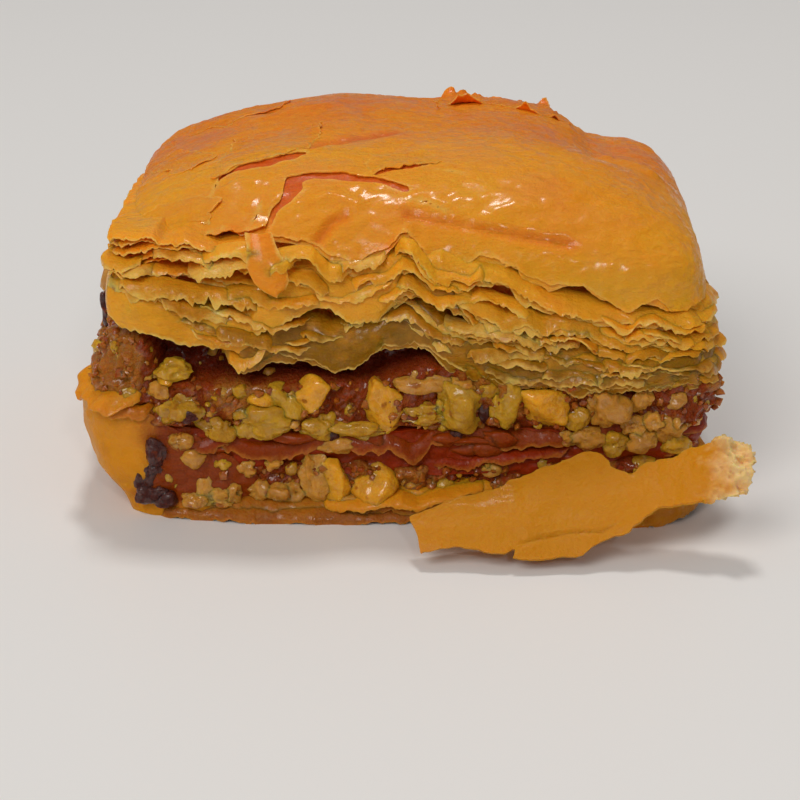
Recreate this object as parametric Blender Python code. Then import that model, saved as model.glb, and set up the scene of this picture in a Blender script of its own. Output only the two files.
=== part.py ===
"""A piece of baklava cut from the edge of a tray, as closed solids at real size, in metres, +Z up.

The piece stands on its flat base with the cut face that shows best towards -Y. From the base up it
holds bottom pastry turned up at the left end, where it lined the tray's wall, a lower layer of nuts,
a few sheets of pastry, an upper layer of nuts, and a puffed lid of many sheets. One large sheet has
peeled off the bottom and leans against the right half of the cut face. The origin is the middle of
the base.
"""

import math

import bmesh
import bpy
from mathutils import Vector, noise

MM = 0.001

# Driving sizes
WIDTH = 47.0 * MM
DEPTH = 36.0 * MM
HEIGHT = 27.3 * MM
CLEARANCE = 0.35 * MM

# Heights of the layers at the cut face
BOTTOM_TOP = 1.7 * MM
LOWER_NUTS_TOP = 4.5 * MM
MIDDLE_TOP = 7.0 * MM
LID_LOW = 10.9 * MM  # the lid's lip at the right end
SHOULDER = 21.4 * MM  # where the side of the lid turns over into the crust

# Plan outline: a superellipse, so that the cut corners are slightly rounded
CORNER_POWER = 8.0
CROWN_BACK_POWER = 3.4  # the crust's far corners are rounder
COLUMNS = 72
INNER_SHARES = (0.3, 0.6, 0.82)  # rings across each flat surface, from the middle out
LIP_SHARES = (0.3, 0.6, 0.82, 0.94)  # and across the lid's underside and the nuts below it

# How far each side stands in from the driving sizes: (height, inset) in millimetres
STAND_IN = {
    "left": ((0.0, 4.8), (1.3, 4.2), (3.4, 1.8), (7.4, 0.0), (10.0, -0.4), (13.0, 0.4), (19.0, 1.9), (22.0, 2.3)),
    "right": ((0.0, 1.9), (3.0, 0.8), (8.0, 0.0), (11.5, -0.8), (13.5, -0.8), (16.5, 0.6), (22.0, 1.2)),
    "front": ((0.0, 0.9), (5.0, 0.2), (12.0, 0.0), (22.0, 0.3)),
    "back": ((0.0, 1.2), (5.0, 0.4), (12.0, 0.0), (22.0, 0.3)),
}

# The lid
LEDGES = 6
LEDGE_DEPTH = 0.7 * MM
LID_RINGS = 9
DOME_RIM = 16.5 * MM
DOME_POWER_X = 2.7
DOME_POWER_Y = 4.0
DOME_REACH = 1.035  # the dome's outline over the lid's, so that its rim isn't vertical
LIP_CURVE = (  # the underside's height along the cut face: (x, height over LID_LOW) in millimetres
    (-21.5, 6.1), (-17.0, 3.8), (-13.0, 2.2), (-8.0, 1.3), (-4.5, 1.6),
    (0.5, 3.3), (5.0, 1.3), (10.0, 0.4), (17.0, 0.0), (24.0, 0.0),
)
FRONT_GAP = 1.6 * MM  # the nuts stay this far under the lip where it climbs

# The turned-up end of the bottom pastry
WALL_TOP = 9.8 * MM
WALL_THICKNESS = 1.9 * MM
WALL_STEPS = 10
FLOOR_STEPS = 12
BOTTOM_SECTIONS = 15
END_ROUND = 3.0 * MM  # the base's corners are rounded over this length in from each cut face

# The peeled sheet, from its root at the right end to its free left end, in millimetres
FLAKE_THICKNESS = 0.5 * MM
FLAKE_COLUMNS = 30
FLAKE_ROWS = 6
FLAKE_UPPER = (
    (25.5, -17.6, 5.9), (23.2, -18.1, 5.2), (19.2, -18.3, 4.7), (15.2, -18.35, 5.2),
    (12.0, -18.5, 4.6), (8.0, -20.0, 3.6), (4.6, -21.2, 2.8), (0.9, -22.2, 2.1),
)
FLAKE_LOWER = (
    (26.0, -18.6, 3.6), (22.9, -19.8, 1.5), (19.6, -21.2, 0.9), (16.0, -23.6, 0.6),
    (12.4, -26.3, 0.5), (9.0, -26.9, 0.5), (5.0, -26.4, 0.7), (1.4, -26.2, 0.8),
)
FLAKE_BULGE = 0.6 * MM


def smooth(value):
    """0 below 0, 1 above 1, and a smooth step between."""
    value = min(max(value, 0.0), 1.0)
    return value * value * (3.0 - 2.0 * value)


def blend(first, second, share):
    return first + (second - first) * share


def ripple(x, y, z, scale, amount):
    """A smooth unevenness, the same on every run."""
    return amount * noise.noise(Vector((x, y, z)) / scale)


def along_curve(points, place):
    """The value at a place along (place, value) points in millimetres, eased between them."""
    place = place / MM
    if place <= points[0][0]:
        return points[0][1] * MM
    for (low, first), (high, second) in zip(points, points[1:]):
        if place <= high:
            return blend(first, second, smooth((place - low) / (high - low))) * MM
    return points[-1][1] * MM


def towards(angle):
    """How much a direction in plan faces each side of the piece, from 0 to 1."""
    across, along = math.cos(angle) / WIDTH, math.sin(angle) / DEPTH
    length = math.hypot(across, along)
    across, along = across / length, along / length
    return {
        "right": smooth(across * 2.0 - 0.75),
        "left": smooth(-across * 2.0 - 0.75),
        "back": smooth(along * 2.0 - 0.75),
        "front": smooth(-along * 2.0 - 0.75),
    }


def outline(angle, z, inset=0.0):
    """A point of the piece's outline in plan at a height, drawn in by inset."""
    across = abs(math.cos(angle)) / (WIDTH / 2)
    along = abs(math.sin(angle)) / (DEPTH / 2)
    crown = smooth((z - LID_LOW) / (SHOULDER - LID_LOW)) if math.sin(angle) > 0.0 else 0.0
    power = blend(CORNER_POWER, CROWN_BACK_POWER, crown)
    radius = (across**power + along**power) ** (-1.0 / power)
    facing = towards(angle)
    stand_in = sum(along_curve(STAND_IN[side], z) * facing[side] for side in STAND_IN)
    x, y = radius * math.cos(angle), radius * math.sin(angle)
    uneven = ripple(x, y, z, 6.0 * MM, 0.5 * MM)
    scale = 1.0 - (inset + stand_in - uneven) / radius
    return x * scale, y * scale


def lip_height(x, y):
    """The lid's underside: uneven at the cut face, more level towards the back."""
    front = smooth((-y + 6.0 * MM) / (18.0 * MM))
    left = smooth((-x - 12.0 * MM) / (10.0 * MM))
    rise = along_curve(LIP_CURVE, x) * blend(0.35 + 0.5 * left, 1.0, front)
    return LID_LOW + rise + ripple(x, y, 0.0, 7.0 * MM, 0.5 * MM)


def shoulder_height(x, y):
    """Where the ledges end: high along the cut faces, lower at the right end."""
    right = smooth((x - 17.0 * MM) / (6.0 * MM))
    return blend(SHOULDER, DOME_RIM, right) + ripple(x, y, 0.0, 5.0 * MM, 0.7 * MM)


def dome_height(x, y):
    """The crust, from its rim to its crown."""
    across = min(abs(x) / (WIDTH / 2 * DOME_REACH), 1.0)
    along = min(abs(y) / (DEPTH / 2 * DOME_REACH), 1.0)
    share = math.sqrt((1.0 - across**DOME_POWER_X) * (1.0 - along**DOME_POWER_Y))
    swell = ripple(x, y, 9.0 * MM, 8.0 * MM, 0.5 * MM)
    return DOME_RIM + (HEIGHT - DOME_RIM) * share + swell * share


def angles():
    """Directions in plan, spread so that the outline's points are evenly spaced."""
    places = []
    for i in range(COLUMNS):
        angle = 2.0 * math.pi * i / COLUMNS
        places.append(math.atan2(math.sin(angle) * DEPTH, math.cos(angle) * WIDTH))
    return places


def shrunk_ring(share, height):
    """A row on a surface, at a share of the way from the middle to the lid's outline."""
    points = []
    for angle in angles():
        x, y = outline(angle, SHOULDER)
        points.append((x * share, y * share, height(x * share, y * share)))
    return points


def inner_rings(height, shares=INNER_SHARES):
    return [shrunk_ring(share, height) for share in shares]


def add_object(name, shape, color, roughness):
    """An object from a finished bmesh, with its own material."""
    bmesh.ops.recalc_face_normals(shape, faces=shape.faces)
    mesh = bpy.data.meshes.new(name)
    shape.to_mesh(mesh)
    shape.free()
    material = bpy.data.materials.new(name)
    material.use_nodes = True
    principled = material.node_tree.nodes["Principled BSDF"]
    principled.inputs["Base Color"].default_value = (*color, 1.0)
    principled.inputs["Roughness"].default_value = roughness
    principled.inputs["Metallic"].default_value = 0.0
    mesh.materials.append(material)
    mesh.shade_smooth()
    mesh.set_sharp_from_angle(angle=math.radians(40.0))
    made = bpy.data.objects.new(name, mesh)
    bpy.context.scene.collection.objects.link(made)
    return made


def solid_of_rings(name, rings, color, roughness):
    """A closed solid through rings with equally many points, capped at both ends."""
    shape = bmesh.new()
    rows = [[shape.verts.new(point) for point in row] for row in rings]
    count = len(rings[0])
    for low, high in zip(rows, rows[1:]):
        for i in range(count):
            j = (i + 1) % count
            shape.faces.new((low[i], low[j], high[j], high[i]))
    shape.faces.new(list(reversed(rows[0])))
    shape.faces.new(rows[-1])
    return add_object(name, shape, color, roughness)


def level(height):
    """A level surface with slight waves."""
    return lambda x, y: height + ripple(x, y, height, 9.0 * MM, 0.15 * MM)


def above(surface):
    return lambda x, y: surface(x, y) + CLEARANCE


def wall_outer(z):
    """The left end's outer face in X, at a height."""
    return -WIDTH / 2 + along_curve(STAND_IN["left"], z)


def bottom_pastry():
    """The flat stack under the nuts, whose left end stands up as a curved wall."""
    rings = []
    for i in range(BOTTOM_SECTIONS):
        share = i / (BOTTOM_SECTIONS - 1)
        y = blend(-DEPTH / 2 + 0.8 * MM, DEPTH / 2 - 1.1 * MM, share)
        in_from_end = min(share, 1.0 - share) * DEPTH / END_ROUND
        draw_in = 1.0 * MM * (1.0 - smooth(in_from_end)) ** 2
        right = WIDTH / 2 - 1.6 * MM - draw_in + ripple(0.0, y, 0.0, 6.0 * MM, 0.6 * MM)
        wall_top = WALL_TOP + ripple(y, 0.0, 0.0, 6.0 * MM, 0.6 * MM)
        section = [(right - 0.7 * MM, 0.0), (right, 0.6 * MM), (right - 0.1 * MM, BOTTOM_TOP - 0.3 * MM)]
        for k in range(FLOOR_STEPS):
            x = blend(right - 0.5 * MM, wall_outer(BOTTOM_TOP) + 2.6 * MM, k / (FLOOR_STEPS - 1))
            section.append((x, level(BOTTOM_TOP)(x, y)))
        for k in range(1, WALL_STEPS):
            z = blend(BOTTOM_TOP + 0.2 * MM, wall_top - 0.4 * MM, k / (WALL_STEPS - 1))
            section.append((wall_outer(z) + WALL_THICKNESS, z))
        section.append((wall_outer(wall_top) + (WALL_THICKNESS + draw_in) / 2, wall_top))
        for k in range(WALL_STEPS):
            z = blend(wall_top - 0.4 * MM, 0.0, k / (WALL_STEPS - 1))
            section.append((wall_outer(z) + draw_in, z))
        for k in range(1, FLOOR_STEPS):
            section.append((blend(wall_outer(0.0), right - 0.7 * MM, k / FLOOR_STEPS), 0.0))
        rings.append([(x, y, z) for x, z in section])
    return solid_of_rings("bottom_pastry", rings, (0.56, 0.25, 0.04), 0.45)


def row_inside_wall(surface, z, inset):
    """A row of a filling's outline, kept clear of the bottom pastry's turned-up end."""
    limit = wall_outer(z) + WALL_THICKNESS + 1.6 * CLEARANCE
    points = []
    for angle in angles():
        x, y = outline(angle, z, inset)
        if z < WALL_TOP:
            x = max(x, limit)
        points.append((x, y, surface(x, y)))
    return points


def filled_layer(name, low, high, color, roughness):
    """A layer between two surfaces, out to the cut faces and the turned-up end."""

    def middle(x, y):
        return (low(x, y) + high(x, y)) / 2

    rings = [
        *inner_rings(low),
        row_inside_wall(low, low(0.0, 0.0), 1.1 * MM),
        row_inside_wall(middle, middle(0.0, 0.0), 0.4 * MM),
        row_inside_wall(high, high(0.0, 0.0), 0.9 * MM),
        *reversed(inner_rings(high)),
    ]
    return solid_of_rings(name, rings, color, roughness)


def lower_nuts():
    low = above(level(BOTTOM_TOP))
    return filled_layer("lower_nuts", low, level(LOWER_NUTS_TOP), (0.36, 0.18, 0.06), 0.4)


def middle_pastry():
    low = above(level(LOWER_NUTS_TOP))
    return filled_layer("middle_pastry", low, level(MIDDLE_TOP), (0.3, 0.09, 0.02), 0.3)


def upper_nuts():
    """The upper nuts reach up under the lid and over the turned-up end, and sag where the lip climbs."""

    def top(x, y):
        edge = max(abs(x) / (WIDTH / 2), abs(y) / (DEPTH / 2))
        lifted = smooth((lip_height(x, y) - LID_LOW - 0.5 * MM) / (2.5 * MM))
        return lip_height(x, y) - CLEARANCE - FRONT_GAP * smooth((edge - 0.6) / 0.35) * lifted

    def over_wall(x, y):
        return WALL_TOP + CLEARANCE + 0.6 * MM

    def at(share):
        return lambda x, y: blend(over_wall(x, y), top(x, y), share)

    low = above(level(MIDDLE_TOP))
    rings = [
        *inner_rings(low),
        row_inside_wall(low, MIDDLE_TOP + CLEARANCE, 0.8 * MM),
        row_inside_wall(lambda x, y: blend(low(x, y), WALL_TOP, 0.6), WALL_TOP - 1.2 * MM, 0.3 * MM),
        row_inside_wall(at(0.0), WALL_TOP - 0.1 * MM, 0.4 * MM),
        row_inside_wall(at(0.1), WALL_TOP, 0.5 * MM),
        row_inside_wall(at(0.5), WALL_TOP + 1.0 * MM, 0.7 * MM),
        row_inside_wall(top, LID_LOW + 1.0 * MM, 1.2 * MM),
        *reversed(inner_rings(top, LIP_SHARES)),
    ]
    return solid_of_rings("upper_nuts", rings, (0.38, 0.2, 0.06), 0.4)


def top_pastry():
    """The puffed lid: an arched underside, ledges of sheet edges up the sides, and a domed crust."""
    rings = inner_rings(lip_height, LIP_SHARES)

    def ledge(share, inset):
        points = []
        for angle in angles():
            x, y = outline(angle, LID_LOW)
            z = blend(lip_height(x, y) + 0.3 * MM, shoulder_height(x, y), share)
            x, y = outline(angle, z, inset)
            points.append((x, y, z))
        return points

    for i in range(LEDGES):
        rings.append(ledge((i + 0.1) / LEDGES, -0.1 * MM))
        rings.append(ledge((i + 0.65) / LEDGES, LEDGE_DEPTH - 0.1 * MM))
    for i in range(LID_RINGS):
        share = 1.0 - ((i + 0.2) / LID_RINGS) ** 1.8
        rings.append(shrunk_ring(share, dome_height))
    return solid_of_rings("top_pastry", rings, (0.66, 0.27, 0.05), 0.45)


def curve_through(points, share):
    """A point on the smooth curve through points given in millimetres."""
    place = share * (len(points) - 1)
    i = min(int(place), len(points) - 2)
    t = place - i
    near = [points[min(max(k, 0), len(points) - 1)] for k in (i - 1, i, i + 1, i + 2)]
    a, b, c, d = (Vector(point) for point in near)
    bent = 0.5 * ((2 * b) + (c - a) * t + (2 * a - 5 * b + 4 * c - d) * t**2 + (3 * b - a - 3 * c + d) * t**3)
    return bent * MM


def loose_flake():
    """A thin sheet between its upper and lower edges, slightly bulged away from the piece."""
    shape = bmesh.new()
    middle = []
    for i in range(FLAKE_COLUMNS):
        upper = curve_through(FLAKE_UPPER, i / (FLAKE_COLUMNS - 1))
        lower = curve_through(FLAKE_LOWER, i / (FLAKE_COLUMNS - 1))
        row = []
        for j in range(FLAKE_ROWS):
            down = j / (FLAKE_ROWS - 1)
            bulge = Vector((0.0, -0.5, 0.85)) * FLAKE_BULGE * math.sin(math.pi * down)
            row.append(upper.lerp(lower, down) + bulge)
        middle.append(row)
    front, back = [], []
    for i, row in enumerate(middle):
        front.append([])
        back.append([])
        for j, point in enumerate(row):
            along = middle[min(i + 1, FLAKE_COLUMNS - 1)][j] - middle[max(i - 1, 0)][j]
            down = row[min(j + 1, FLAKE_ROWS - 1)] - row[max(j - 1, 0)]
            out = along.cross(down).normalized() * FLAKE_THICKNESS / 2
            front[-1].append(shape.verts.new(point + out))
            back[-1].append(shape.verts.new(point - out))
    for i in range(FLAKE_COLUMNS - 1):
        for j in range(FLAKE_ROWS - 1):
            for side, turn in ((front, 1), (back, -1)):
                corners = (side[i][j], side[i + 1][j], side[i + 1][j + 1], side[i][j + 1])
                shape.faces.new(corners[::turn])
    rim = [(i, 0) for i in range(FLAKE_COLUMNS)]
    rim += [(FLAKE_COLUMNS - 1, j) for j in range(1, FLAKE_ROWS)]
    rim += [(i, FLAKE_ROWS - 1) for i in range(FLAKE_COLUMNS - 2, -1, -1)]
    rim += [(0, j) for j in range(FLAKE_ROWS - 2, 0, -1)]
    for (i, j), (k, m) in zip(rim, rim[1:] + rim[:1]):
        shape.faces.new((front[i][j], back[i][j], back[k][m], front[k][m]))
    return add_object("loose_flake", shape, (0.6, 0.27, 0.05), 0.4)


def main():
    for old in list(bpy.data.objects):
        bpy.data.objects.remove(old, do_unlink=True)
    bottom_pastry()
    lower_nuts()
    middle_pastry()
    upper_nuts()
    top_pastry()
    loose_flake()


main()
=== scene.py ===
"""Looks for a cut piece of baklava: a torn, puffed lid of thin sheets over chopped nuts in syrup."""

import math

import bmesh
import bpy
import numpy as np
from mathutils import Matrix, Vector


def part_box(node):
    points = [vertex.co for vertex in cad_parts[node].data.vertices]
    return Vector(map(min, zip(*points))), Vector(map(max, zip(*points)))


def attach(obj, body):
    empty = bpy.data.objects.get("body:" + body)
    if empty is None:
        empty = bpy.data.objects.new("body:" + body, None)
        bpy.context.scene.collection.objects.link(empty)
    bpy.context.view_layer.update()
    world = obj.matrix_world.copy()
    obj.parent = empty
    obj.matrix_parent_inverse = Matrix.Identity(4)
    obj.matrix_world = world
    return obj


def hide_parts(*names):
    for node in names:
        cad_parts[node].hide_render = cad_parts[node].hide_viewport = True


bl_info = {
    "name": "Baklava piece",
    "version": (1, 0, 0),
    "blender": (4, 5, 0),
    "location": "3D View > Sidebar > Baklava",
    "description": "Builds a cut piece of baklava, sheet by sheet and nut by nut",
    "category": "Add Mesh",
}

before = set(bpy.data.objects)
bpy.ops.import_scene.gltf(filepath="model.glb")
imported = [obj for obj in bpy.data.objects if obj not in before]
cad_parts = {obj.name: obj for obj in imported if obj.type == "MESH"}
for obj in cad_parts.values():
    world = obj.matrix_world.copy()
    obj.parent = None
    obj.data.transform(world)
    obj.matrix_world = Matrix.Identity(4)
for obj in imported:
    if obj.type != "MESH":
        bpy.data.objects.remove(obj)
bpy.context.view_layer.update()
MM = 0.001


def node_corners(node):
    """A CAD node's lowest and highest corners, in millimetres."""
    low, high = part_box(node)
    return np.array(low) / MM, np.array(high) / MM


LID_LOW, LID_HIGH = node_corners("top_pastry")
NUTS_LOW, NUTS_HIGH = node_corners("upper_nuts")
MIDDLE_LOW, MIDDLE_HIGH = node_corners("middle_pastry")
LOWER_LOW, LOWER_HIGH = node_corners("lower_nuts")

# The body, in millimetres like every length below
HALF_WIDTH = (NUTS_HIGH[0] - NUTS_LOW[0]) / 2 - 0.15
HALF_DEPTH = (NUTS_HIGH[1] - NUTS_LOW[1]) / 2 + 0.15
CROWN = LID_HIGH[2] - 1.05
LIP = LID_LOW[2] + 0.2
SHOULDER = LIP + 10.5
CRUST_RIM = LIP + 5.6
CORNER_POWER = 8.0
FAR_CORNER_POWER = 3.4

# How far each side stands in from the body's half sizes, by height
LEFT_SIDE = (
    (0, 1.3, 3.4, 7.4, 10, 13, 14.6, 15.8, 19, 22),
    (3.7, 2.9, 0.7, -0.3, -0.3, 0.7, 1.3, 1.9, 2.5, 2.8),
)
RIGHT_SIDE = ((0, 3, 8, 11.5, 13.5, 16.5, 22), (1.9, 0.4, -0.9, -0.4, -0.2, 0, 0.5))
CUT_SIDE = ((0, 5, 12, 22), (0.9, 0.2, 0, 0.3))


# ---- numbers and noise


def smooth(value):
    """0 below 0, 1 above 1, and a smooth step between."""
    value = np.clip(value, 0.0, 1.0)
    return value * value * (3.0 - 2.0 * value)


def blend(first, second, share):
    return first + (second - first) * share


def scrambled(x, y, z, seed):
    """An even, repeatable number from -1 to 1 for each corner of a lattice."""
    with np.errstate(over="ignore"):
        mixed = x.astype(np.uint32) * np.uint32(374761393) + y.astype(np.uint32) * np.uint32(668265263)
        mixed = mixed + z.astype(np.uint32) * np.uint32(2246822519) + np.uint32(seed * 7919 + 101)
        mixed = (mixed ^ (mixed >> np.uint32(13))) * np.uint32(1274126177)
        mixed = mixed ^ (mixed >> np.uint32(16))
    return (mixed & np.uint32(0xFFFFFF)) / float(0x7FFFFF) - 1.0


def noise(points, scale, seed=0):
    """Smooth noise from about -1 to 1 at points of shape (..., 3)."""
    place = np.asarray(points, float) / scale
    cell = np.floor(place).astype(np.int64)
    part = smooth(place - cell)
    total = 0.0
    for dx in (0, 1):
        for dy in (0, 1):
            for dz in (0, 1):
                weight = 1.0
                for axis, step in enumerate((dx, dy, dz)):
                    weight = weight * (part[..., axis] if step else 1.0 - part[..., axis])
                corner = scrambled(cell[..., 0] + dx, cell[..., 1] + dy, cell[..., 2] + dz, seed)
                total = total + weight * corner
    return total


def rough_noise(points, scale, seed=0, octaves=3):
    """Noise with finer noise on top."""
    total = 0.0
    for octave in range(octaves):
        total = total + noise(points, scale / 2**octave, seed + 17 * octave) / 2**octave
    return total / 1.5


def line_noise(places, scale, seed=0, octaves=3):
    """The same along a line."""
    places = np.asarray(places, float)
    points = np.stack([places, places * 0.0 + seed * 3.1, places * 0.0], -1)
    return rough_noise(points, scale, seed, octaves)


def unit(vectors):
    return vectors / np.maximum(np.linalg.norm(vectors, axis=-1, keepdims=True), 1e-9)


def run_length(points):
    """The distance along a line of points to each of them."""
    return np.concatenate([[0.0], np.cumsum(np.linalg.norm(np.diff(points, axis=0), axis=1))])


def softened(values, count):
    """Values with their corners rounded over count neighbours."""
    kernel = np.hanning(2 * count + 3)[1:-1]
    kernel = kernel / kernel.sum()
    padded = np.concatenate([np.full(count, values[0]), values, np.full(count, values[-1])])
    return np.convolve(padded, kernel, mode="valid")


def near_line(points, line):
    """The distance to a line of points, and how far along it the nearest place is, from 0 to 1."""
    best = np.full(len(points), 1e9)
    place = np.zeros(len(points))
    for i, (start, end) in enumerate(zip(line[:-1], line[1:])):
        step = end - start
        share = np.clip(((points - start) @ step) / max(step @ step, 1e-9), 0.0, 1.0)
        distance = np.linalg.norm(points - (start + share[:, None] * step), axis=1)
        closer = distance < best
        best = np.where(closer, distance, best)
        place = np.where(closer, (i + share) / (len(line) - 1), place)
    return best, place


def inside(plan, corners):
    """The distance in from the edge of a many-sided shape, less than 0 outside it."""
    corners = np.array(corners, float)
    closed = np.concatenate([corners, corners[:1]])
    distance, _ = near_line(plan, closed)
    within = np.zeros(len(plan), bool)
    for start, end in zip(closed[:-1], closed[1:]):
        crosses = (start[1] > plan[:, 1]) != (end[1] > plan[:, 1])
        rise = np.where(end[1] == start[1], 1e-9, end[1] - start[1])
        within ^= crosses & (plan[:, 0] < start[0] + (plan[:, 1] - start[1]) * (end[0] - start[0]) / rise)
    return np.where(within, distance, -distance)


# ---- surfaces


def grid_faces(rows, columns, closed=False):
    """Triangles over a grid of points in row order; a closed grid's rows run round."""
    across = columns if closed else columns - 1
    row, column = np.meshgrid(np.arange(rows - 1), np.arange(across), indexing="ij")
    after = (column + 1) % columns
    a, b = row * columns + column, row * columns + after
    c, d = (row + 1) * columns + after, (row + 1) * columns + column
    first = np.stack([a, b, c], -1).reshape(-1, 3)
    second = np.stack([a, c, d], -1).reshape(-1, 3)
    return np.concatenate([first, second])


def clip(points, faces, keep, layers):
    """A triangle mesh cut along the line where keep is zero; layers are values to carry along."""
    kept = keep[faces] > 0.0
    count = kept.sum(1)
    whole = faces[count == 3]
    one, two = faces[count == 1], faces[count == 2]
    lead_one = np.argmax(kept[count == 1], 1)
    lead_two = np.argmin(kept[count == 2], 1)
    one = np.take_along_axis(one, (lead_one[:, None] + np.arange(3)) % 3, 1)
    two = np.take_along_axis(two, (lead_two[:, None] + np.arange(3)) % 3, 1)
    edges = np.concatenate([one[:, [0, 1]], one[:, [0, 2]], two[:, [0, 1]], two[:, [0, 2]]])
    pairs, index = np.unique(np.sort(edges, 1), axis=0, return_inverse=True)
    index = index.reshape(-1) + len(points)
    low, high = keep[pairs[:, 0]], keep[pairs[:, 1]]
    share = np.clip(low / np.where(np.abs(low - high) < 1e-12, 1e-12, low - high), 0.02, 0.98)
    points = np.concatenate([points, blend(points[pairs[:, 0]], points[pairs[:, 1]], share[:, None])])
    layers = {
        name: np.concatenate([layer, blend(layer[pairs[:, 0]], layer[pairs[:, 1]], share)])
        for name, layer in layers.items()
    }
    n, m = len(one), len(two)
    one_b, one_c = index[:n], index[n : 2 * n]
    two_b, two_c = index[2 * n : 2 * n + m], index[2 * n + m :]
    faces = np.concatenate([
        whole,
        np.stack([one[:, 0], one_b, one_c], 1),
        np.stack([two_b, two[:, 1], two[:, 2]], 1),
        np.stack([two_b, two[:, 2], two_c], 1),
    ])
    used, renumbered = np.unique(faces, return_inverse=True)
    layers = {name: layer[used] for name, layer in layers.items()}
    return points[used], renumbered.reshape(-1, 3), layers


def point_normals(points, faces):
    a, b, c = (points[faces[:, k]] for k in range(3))
    normal = np.cross(b - a, c - a)
    total = np.zeros_like(points)
    for k in range(3):
        np.add.at(total, faces[:, k], normal)
    return unit(total)


def shell(points, faces, thickness, layers):
    """A thin closed solid: the surface, a copy pushed in behind it, and the rim between them."""
    behind = points - point_normals(points, faces) * thickness
    edges = np.concatenate([faces[:, [0, 1]], faces[:, [1, 2]], faces[:, [2, 0]]])
    ordered = np.sort(edges, 1)
    _, index, count = np.unique(ordered, axis=0, return_inverse=True, return_counts=True)
    border = edges[count[index.reshape(-1)] == 1]
    a, b = border[:, 0], border[:, 1]
    n = len(points)
    faces = np.concatenate([
        faces,
        faces[:, ::-1] + n,
        np.stack([b, a, a + n], 1),
        np.stack([b, a + n, b + n], 1),
    ])
    layers = {name: np.concatenate([layer, layer]) for name, layer in layers.items()}
    return np.concatenate([points, behind]), faces, layers


def ring_solid(rings):
    """Points and faces of a closed solid through rings with equally many points."""
    count = len(rings[0])
    points = np.concatenate(rings + [rings[0].mean(0)[None], rings[-1].mean(0)[None]])
    faces = grid_faces(len(rings), count, True)
    here = np.arange(count)
    after = (here + 1) % count
    bottom, top = len(points) - 2, len(points) - 1
    last = (len(rings) - 1) * count
    caps = [
        np.stack([here * 0 + bottom, after, here], 1),
        np.stack([here * 0 + top, last + here, last + after], 1),
    ]
    return points, np.concatenate([faces, *caps])


def stacked(rings):
    """A closed solid through rings, with half-sized copies of the first and last at its ends."""
    half = [0.5, 0.5, 1.0]
    return ring_solid([rings[0] * half, *rings, rings[-1] * half])


def stacked_values(values, middle):
    """Values for the points of a stacked solid; middle is the value at its two poles."""
    return np.concatenate([values[:1].ravel(), values.ravel(), values[-1:].ravel(), [middle, middle]])


SHARP_EDGE = math.radians(55.0)
FAR_FROM_RIM = 9.0


def placed(name, data):
    """A new object in the scene."""
    made = bpy.data.objects.new(name, data)
    bpy.context.scene.collection.objects.link(made)
    return made


class Mesh:
    """Surfaces gathered into one piece, with a value at each point for each layer."""

    def __init__(self, *names):
        self.names = names or ("rim", "bake")
        self.points, self.faces, self.count = [], [], 0
        self.layers = {name: [] for name in self.names}

    def add(self, points, faces, **layers):
        points = np.asarray(points, float).reshape(-1, 3)
        self.points.append(points)
        self.faces.append(np.asarray(faces) + self.count)
        for name in self.names:
            value = np.broadcast_to(np.asarray(layers.get(name, 0.0), float).ravel(), (len(points),))
            self.layers[name].append(value)
        self.count += len(points)

    def add_shell(self, points, faces, thickness, layers):
        """Adds a surface with the thin solid behind it."""
        points, faces, layers = shell(points, faces, thickness, layers)
        self.add(points, faces, **layers)

    def make(self, name, material, slot, *nodes):
        """The finished piece, riding on the body and standing for its CAD nodes."""
        points = np.concatenate(self.points) * MM
        faces = np.concatenate(self.faces).astype(np.int32)
        mesh = bpy.data.meshes.new(name)
        mesh.vertices.add(len(points))
        mesh.vertices.foreach_set("co", points.astype(np.float32).ravel())
        mesh.loops.add(faces.size)
        mesh.loops.foreach_set("vertex_index", faces.ravel())
        mesh.polygons.add(len(faces))
        mesh.polygons.foreach_set("loop_start", np.arange(0, faces.size, 3, dtype=np.int32))
        mesh.update(calc_edges=True)
        mesh.validate()
        for layer in self.names:
            attribute = mesh.attributes.new(layer, "FLOAT", "POINT")
            values = np.concatenate(self.layers[layer]).astype(np.float32)
            attribute.data.foreach_set("value", values)
        mesh.materials.append(material)
        mesh.shade_smooth()
        mesh.set_sharp_from_angle(angle=SHARP_EDGE)
        piece = placed(name, mesh)
        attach(piece, "root")
        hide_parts(*nodes)


# ---- the body's outline


def stand_in(side, z):
    return np.interp(z, *side)


def outline(angle, z, out=0.0):
    """Points round the piece at a height, moved outwards, and the outward directions there."""
    across, along = np.cos(angle), np.sin(angle)
    crown = smooth((z - LIP) / (SHOULDER - LIP)) * (along > 0.0)
    power = blend(CORNER_POWER, FAR_CORNER_POWER, crown)
    share_x, share_y = np.abs(across) / HALF_WIDTH, np.abs(along) / HALF_DEPTH
    radius = (share_x**power + share_y**power) ** (-1.0 / power)
    x, y = radius * across, radius * along
    steep_x = np.sign(x) * np.abs(x / HALF_WIDTH) ** (power - 1.0) / HALF_WIDTH
    steep_y = np.sign(y) * np.abs(y / HALF_DEPTH) ** (power - 1.0) / HALF_DEPTH
    outward = unit(np.stack([steep_x, steep_y, steep_x * 0.0], -1))
    right, left = np.maximum(outward[..., 0], 0.0), np.maximum(-outward[..., 0], 0.0)
    inset = stand_in(LEFT_SIDE, z) * left**2 + stand_in(RIGHT_SIDE, z) * right**2
    inset = inset + stand_in(CUT_SIDE, z) * outward[..., 1] ** 2
    points = np.stack([x, y, x * 0.0 + z], -1) + outward * np.asarray(out - inset)[..., None]
    return points, outward


def round_table(start):
    """Distances round the outline from a direction, and the directions there."""
    fine = np.linspace(start, start + 2.0 * math.pi, 4001)
    return run_length(outline(fine, LIP + fine * 0.0)[0]), fine


ROUND_LENGTH, ROUND_ANGLE = round_table(-0.5 * math.pi)
ROUND = ROUND_LENGTH[-1]


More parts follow.
